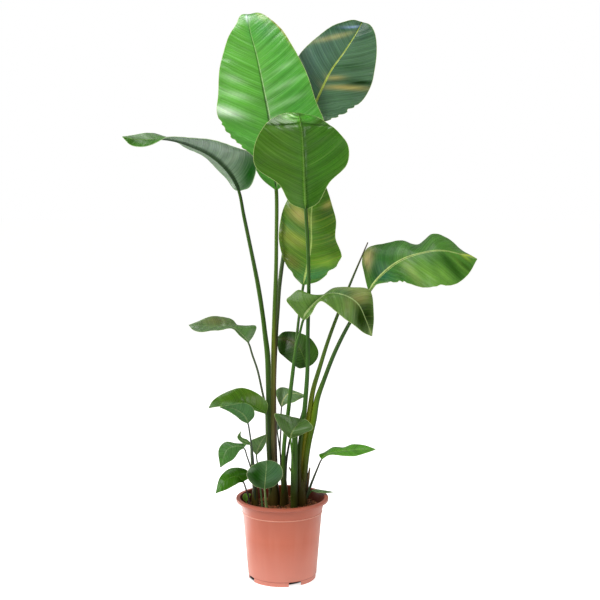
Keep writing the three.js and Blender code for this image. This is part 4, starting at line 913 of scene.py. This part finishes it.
# Living stalk, a waxy cuticle over long fibres: satin, its green broken by lengthwise streaks and
# by small brown flecks where it has rubbed.
stalk_surface, tree = new_surface("living stalk, waxy skin")
run = add_node(tree, "UVMap", uv_map="fibre_run")
where = add_node(tree, "TexCoord", output="Object")
tint = add_node(tree, "Attribute", attribute_name="tint")
streak = add_node(tree, "Attribute", attribute_name="streak")
fibre = noise_in(tree, run, (420, 9, 1), 4, 0.6)
rub = noise_in(tree, where, 55, 5, 0.65)
hue = lay_over(tree, tint, streak, remap(tree, fibre, 0.45, 0.8, 0, 0.7))
hue = lay_over(tree, hue, "#5c4426", remap(tree, rub, 0.62, 0.75, 0, 0.5))
set_shader(
    tree, Base_Color=hue, IOR=1.4, Roughness=remap(tree, fibre, 0.3, 0.7, 0.3, 0.44),
    Specular_IOR_Level=0.3, Subsurface_Weight=0.08, Subsurface_Scale=0.004,
    Subsurface_Radius=(0.6, 1.0, 0.3), Normal=bumped(tree, fibre, 0.35, 0.0006),
)

seed = 0
for name, shoot in SHOOTS.items():
    parts = []
    for stalk in shoot["stalks"]:
        seed += 1
        parts.append(stalk_part(stalk, seed))
    if "crown" in shoot:
        x, y, radius = shoot["crown"]
        crown = dict(
            tip=(x, y, MIX_TOP + CROWN_TOP), end=radius * CROWN_END, foot=(x, y, radius),
            path=[(x, y, MIX_TOP + rise, radius * share) for rise, share in CROWN_RINGS],
            skin=[(MIX_TOP + CROWN_TOP, "#5a6222", "#474e16", "#3a340e"),
                  (MIX_TOP + CROWN_FOOT, "#54451a", "#43350f", "#30220c")],
        )
        parts.append(stalk_part(crown, CROWN_SEED + seed))
    piece = join(name.replace("shoot", "stalks").replace("stalk_", "thin_stalk_"), parts)
    finish_piece(piece, stalk_surface, "stalk", name, smooth=60)


# ------------------------------------------------------------------ leaf blades
# A thin leathery blade: glossy and smooth on top, paler beneath, ruled from rib to edge by fine
# parallel veins, with a rib that is a groove above and a keel below, and a pale hard margin.

HALF = 20  # columns each side of the middle of the rib
RIB_COLUMNS = 5
MARGIN_COLUMNS = 3
INNER_COLUMNS = HALF - RIB_COLUMNS - MARGIN_COLUMNS
FINE = 8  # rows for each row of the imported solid
EDGE_WIDTH, WIDEST_MARGIN = 1.3, 0.2  # the margin in millimetres, and the most of a half it takes
RIB_ROOM = 1.25  # the columns at the rib take this much of its half breadth
RIB_LINE, BESIDE_LINE = 3, (2, 4)  # columns that the rib's line and the lines beside it take
LIFT = 0.5  # the blade starts above its rib's course by this share of the keel's depth
BULGE = 0.22  # how far a half swells from rib to edge, as a share of its width
RUFFLE, RUFFLES = 0.12, 4.7  # small waves of the edge: height and number, as shares of the large
VEIN_RISE = 0.5  # how far a vein climbs towards the tip for each unit it runs outwards
VEIN_CURVE = 0.35
PLEAT_RISE = 0.35  # half the height of a pleat between two veins
PLEATS = ((1, 2.4, 1), (0.8, 3.7, 4))  # share, millimetres for each radian, and start
GROOVE = 0.28  # depth of the groove as a share of the rib's half breadth
GROOVE_COLUMNS = 3
KEEL_LOST = 0.8  # share of the keel that is gone at the tip
TEAR_SHAPE = 0.7  # under 1 a tear is blunt
RIPPLE = (0.6, 0.6)
FADE, BESIDE_FADE, KEEL_FADE = 0.35, 0.5, 0.7  # shares of a line's colour that are gone at the tip
SLANT = 0.1
# A mark darker than this is painted shade in a bend or fold, and is dulled.
PAINTED_SHADE_LIMIT, GLEAM_LOST = 0.12, 0.9  # a mark darker than this loses so much of its gloss
MARGIN_STRENGTH = 0.8
ON_BLADE, ON_RIB, ON_MARGIN, BY_RIB = range(4)


def blade(name, leaf, stalk):
    """One blade: a sheet with thickness, grooved above and keeled below along its rib."""
    size, wave, waves = leaf["size"], leaf["wave"], leaf["waves"]
    rows = size["rows"] * FINE
    before = stalk["path"][0][:3]
    base, tip = leaf["base"], leaf["tip"]
    rib, run = evenly([before, base, *leaf["rib"], tip], rows, 1)
    edges = {-1: evenly([base, *leaf["left"], tip], rows)[0],
             1: evenly([base, *leaf["right"], tip], rows)[0]}
    heading = unit(np.gradient(rib, axis=0))
    heading[0] = unit(np.array(leaf["rib"][0], float) - np.array(before, float))
    near = np.clip(np.arange(rows + 1), FINE, rows - FINE)
    span = edges[1][near] - edges[-1][near]
    span = unit(span - heading * (span * heading).sum(1, keepdims=True))
    face = np.cross(span, heading)
    u = np.linspace(0, 1, rows + 1)
    rib_half = size["rib"] + (size["rib_tip"] - size["rib"]) * u
    envelope = np.sin(math.pi * u)
    low, high = leaf.get("ripple", RIPPLE)
    ripple = np.clip(low + (high - low) * u ** 4, 0, None)
    lift = LIFT * size["keel"] * (1 - u) ** 4
    columns = np.arange(-HALF, HALF + 1)
    grid = np.zeros((rows + 1, len(columns), 3))
    run_map = np.zeros((rows + 1, len(columns), 2))
    ridge, groove, across = np.zeros((3, rows + 1, len(columns)))
    for sign, start in ((-1, 0.3), (1, 0.8)):
        out = edges[sign] - rib
        out[0] = 0
        out += span * (sign * rib_half)[:, None]
        width = np.linalg.norm(out, axis=1)
        for side, share, depth, reach in leaf.get("nicks", ()):
            if side == sign:
                torn = depth * np.clip(1 - np.abs(u - share) / reach, 0, 1) ** TEAR_SHAPE
                out *= (1 - torn / width)[:, None]
        shoulder = np.minimum(size["across"] / 2, RIB_ROOM * rib_half / width)
        margin = np.minimum(WIDEST_MARGIN, EDGE_WIDTH / width)
        swing = wave * envelope * np.sin(2 * math.pi * (waves * u + start))
        ruffle = RUFFLE * wave * envelope * np.sin(2 * math.pi * (RUFFLES * waves * u + start))
        for k in range(HALF + 1):
            if k <= RIB_COLUMNS:
                v = shoulder * k / RIB_COLUMNS
            elif k <= HALF - MARGIN_COLUMNS:
                v = shoulder + (1 - margin - shoulder) * (k - RIB_COLUMNS) / INNER_COLUMNS
            else:
                v = 1 - margin * (HALF - k) / MARGIN_COLUMNS
            along_vein = run - VEIN_RISE * v * width * (1 + VEIN_CURVE * v)
            pleat = sum(share * np.sin(along_vein / length + turn * start)
                        for share, length, turn in PLEATS)
            rise = (BULGE * width * envelope * v * (1 - v) + swing * v ** 2 + lift
                    + ruffle * v ** 5 + PLEAT_RISE * np.minimum(ripple, 2) * envelope * pleat
                    * np.minimum(4 * v, 1) * (1 - v ** 4))
            column = HALF + sign * k
            grid[:, column] = rib + out * v[:, None] + face * rise[:, None]
            inner = min(1, k / RIB_COLUMNS)
            ridge[:, column] = size["keel"] * (1 - KEEL_LOST * u) * (1 - inner ** 2) ** 1.2
            groove[:, column] = GROOVE * rib_half * max(0, 1 - (k / GROOVE_COLUMNS) ** 2)
            across[:, column] = sign * v
            run_map[:, column, 0] = sign * v * width
            run_map[:, column, 1] = along_vein
    piece = woven_grid(name, grid, run_map)
    thick = piece.modifiers.new("thickness", "SOLIDIFY")
    thick.thickness, thick.offset, thick.use_even_offset = size["wall"] * MM, 0, False
    bpy.context.view_layer.objects.active = piece
    bpy.ops.object.modifier_apply(modifier="thickness")
    places = np.zeros(len(piece.data.vertices) * 3)
    piece.data.vertices.foreach_get("co", places)
    layers = places.reshape(2, *grid.shape)
    normal = face[:, None]
    upper = ((layers[0] - layers[1]) * normal).sum(-1).mean() > 0
    top, bottom = (0, 1) if upper else (1, 0)
    layers[top] -= normal * groove[..., None] * MM
    layers[bottom] -= normal * ridge[..., None] * MM
    piece.data.vertices.foreach_set("co", layers.ravel())

    off, along = np.abs(columns), u[:, None]
    on_line = off <= leaf.get("rib_line_columns", RIB_LINE)
    zone = np.select([on_line, off > HALF - MARGIN_COLUMNS, off <= RIB_COLUMNS],
                     [ON_RIB, ON_MARGIN, BY_RIB], ON_BLADE)
    tint = np.zeros((2, *grid.shape[:2], 4))
    streak, shine = np.zeros_like(tint), np.full_like(tint, leaf.get("gloss", 1))
    for layer, body, rib_hue in ((top, "upper", "rib_line"), (bottom, "under", "keel")):
        hue = np.broadcast_to(np.array(linear(leaf[body])), tint.shape[1:]).copy()
        for share, side, reach, breadth, colour, strength, *slant in leaf.get("marks", ()):
            slope = slant[0] if slant else SLANT
            bump = np.exp(-((along - share - slope * (np.abs(across) - abs(side))) / reach) ** 2
                          - ((across - side) / breadth) ** 2)
            hue = blend(hue, colour, strength * bump)
            # A dark mark is painted shade, so it takes away gloss as well as colour.
            if sum(linear(colour)[:3]) < PAINTED_SHADE_LIMIT:
                shine[layer] *= 1 - GLEAM_LOST * strength * bump[..., None]
        hue = blend(hue, leaf[rib_hue], (zone == ON_RIB) * (1 - leaf.get("fade", FADE) * along))
        if body == "upper" and "shoulder" in leaf:
            colour, *strengths = leaf["shoulder"]
            for sign, strength in zip((-1, 1), strengths):
                first, last = BESIDE_LINE
                beside = (columns * sign >= first) & (columns * sign <= last)
                hue = blend(hue, colour, beside * strength * (1 - BESIDE_FADE * along))
        hue = blend(hue, leaf["edge"], (zone == ON_MARGIN) * MARGIN_STRENGTH)
        if body == "under" and leaf.get("broad_keel"):
            hue = blend(hue, leaf["keel"], (zone == BY_RIB) * (1 - KEEL_FADE * along))
        tint[layer] = hue
        tint[layer, ..., 3] = ripple[:, None]
        streak[layer] = np.array(linear(leaf["streak"][0]))
        streak[layer, ..., 3] = leaf["streak"][1] * (zone == ON_BLADE)
    paint(piece, tint=tint, streak=streak, shine=shine)
    return piece


# Living leaf under its waxy cuticle: a clear gloss broken into ripples by veins 2 to 3 mm apart
# and by pleats of 15 mm, each vein a shade lighter or darker, each pleat painted darker in its
# hollow and lighter on its crest as painted shade and light, with light glowing through it.
blade_surface, tree = new_surface("living leaf, waxy cuticle")
run = add_node(tree, "UVMap", uv_map="fibre_run")
where = add_node(tree, "TexCoord", output="Object")
tint = add_node(tree, "Attribute", attribute_name="tint")
ripple = add_node(tree, "Attribute", output="Alpha", attribute_name="tint")
streak = add_node(tree, "Attribute", attribute_name="streak")
streaked = add_node(tree, "Attribute", output="Alpha", attribute_name="streak")
shine = add_node(tree, "Attribute", output="Fac", attribute_name="shine")
pleats = noise_in(tree, run, (4, 62, 1), 1)
broad = noise_in(tree, run, (5, 150, 1))
veins = noise_in(tree, run, (7, 430, 1), 3)
hairline = noise_in(tree, run, (9, 1100, 1), 1)
mottle = noise_in(tree, where, 16, 4, 0.6)
bands = calculate(tree, "MULTIPLY", remap(tree, broad, 0.52, 0.76, 0, 0.6), streaked)
level = calculate(tree, "ADD", remap(tree, veins, 0.3, 0.7, 0.84, 1.12),
                  remap(tree, mottle, 0.3, 0.7, -0.1, 0.1))
# Painted shade and light on the pleats: darker in their hollows, lighter on their crests.
level = calculate(tree, "ADD", level, remap(tree, pleats, 0.35, 0.6, -0.12, 0.1))
hue = add_node(tree, "HueSaturation", {
    "Color": lay_over(tree, tint, streak, bands), "Saturation": 1.04, "Value": level})
relief = bumped(tree, hairline, 0.25, 0.0001)
relief = bumped(tree, calculate(tree, "MULTIPLY", veins, ripple), 0.5, 0.0006, relief)
relief = bumped(tree, calculate(tree, "MULTIPLY", pleats, ripple), 0.7, 0.004, relief)
set_shader(
    tree, Base_Color=hue, IOR=1.45, Roughness=remap(tree, veins, 0.3, 0.7, 0.22, 0.36),
    Specular_IOR_Level=remap(tree, shine, 0, 1, 0, 0.3), Subsurface_Weight=0.15,
    Subsurface_Scale=0.003, Subsurface_Radius=(0.6, 1.0, 0.2), Normal=relief,
)

for shoot in SHOOTS.values():
    for stalk in shoot["stalks"]:
        if "leaf" in stalk:
            name = stalk["leaf"]
            piece = blade("blade_" + name, LEAVES[name], stalk)
            finish_piece(piece, blade_surface, "leaf", "leaf_" + name, smooth=50)


# ------------------------------------------------------------------ studio
# A pale floor that runs out into a white surround, one large soft window to the left of the
# front, and weaker ones to the right, behind and above. The camera stands 2.75 m off.

CAMERA = (46, -2750, 968)
CAMERA_DIP = 5.08

bpy.ops.object.select_all(action="DESELECT")
bpy.ops.mesh.primitive_circle_add(vertices=128, radius=60, fill_type="NGON", location=(0, 0, 0))
floor = bpy.context.object
floor.name = "floor"
floor_surface, tree = new_surface("painted studio floor, matt")
where = add_node(tree, "TexCoord", output="Object")
camera_ray = add_node(tree, "LightPath", output="Is Camera Ray")
glossy_ray = add_node(tree, "LightPath", output="Is Glossy Ray")
from_pot, from_glow_patch = (
    add_node(tree, "VectorMath", {0: where, 1: place(x, y, 0)}, "Value", operation="DISTANCE")
    for x, y in ((-8, 6), (-430, 470))
)
# Under the pot the floor is painted dark, a painted shadow. A round patch of it behind the pot's
# left side glows in reflections alone, a painted light like a white card, and so gives the pot its
# pale left edge.
open_floor = remap(tree, from_pot, 0.076, 0.083)
glow = calculate(tree, "MULTIPLY_ADD", remap(tree, from_glow_patch, 0.3, 0.5, 1.3, 0), glossy_ray,
                 remap(tree, camera_ray, 0, 1, 0.25, 0.77))
set_shader(tree, Base_Color=lay_over(tree, "#1c1412", "#e4e4e2", open_floor), Roughness=0.95,
           Emission_Color="#fffffe", Emission_Strength=calculate(tree, "MULTIPLY", glow, open_floor))
floor.data.materials.append(floor_surface)

world = bpy.data.worlds.new("studio")
bpy.context.scene.world = world
world.use_nodes = True
tree = world.node_tree
background = tree.nodes["Background"]
background.inputs["Color"].default_value = (1, 1, 1, 1)
seen = add_node(tree, "LightPath", output="Is Camera Ray")
feed(tree, background.inputs["Strength"], remap(tree, seen, 0, 1, 0.3, 1))


def window(name, location, target, width, height, power):
    """A soft box of light, turned to face a target."""
    light = bpy.data.lights.new(name, "AREA")
    light.shape, light.size, light.size_y, light.energy = "RECTANGLE", width, height, power
    lamp = bpy.data.objects.new(name, light)
    lamp.location = location
    lamp.rotation_euler = (Vector(target) - Vector(location)).to_track_quat("-Z", "Y").to_euler()
    bpy.context.scene.collection.objects.link(lamp)


window("window_left", (-2.0, -1.9, 2.4), (0, 0, 0.7), 1.3, 1.8, 78)
window("window_right", (2.4, -1.2, 1.6), (0, 0, 0.7), 1.0, 1.8, 26)
window("window_behind", (-2.3, 1.1, 0.9), (0, 0, 0.4), 0.9, 1.5, 26)
window("window_top", (-0.3, 0.4, 3.0), (0, 0.1, 0.9), 1.0, 1.0, 22)

camera = bpy.data.objects.new("camera", bpy.data.cameras.new("camera"))
bpy.context.scene.collection.objects.link(camera)
camera.location = place(*CAMERA)
camera.rotation_euler = (math.radians(90 - CAMERA_DIP), 0, 0)
camera.data.sensor_width, camera.data.lens = 36, 64.8
bpy.context.scene.camera = camera
bpy.context.scene.view_settings.view_transform = "Standard"
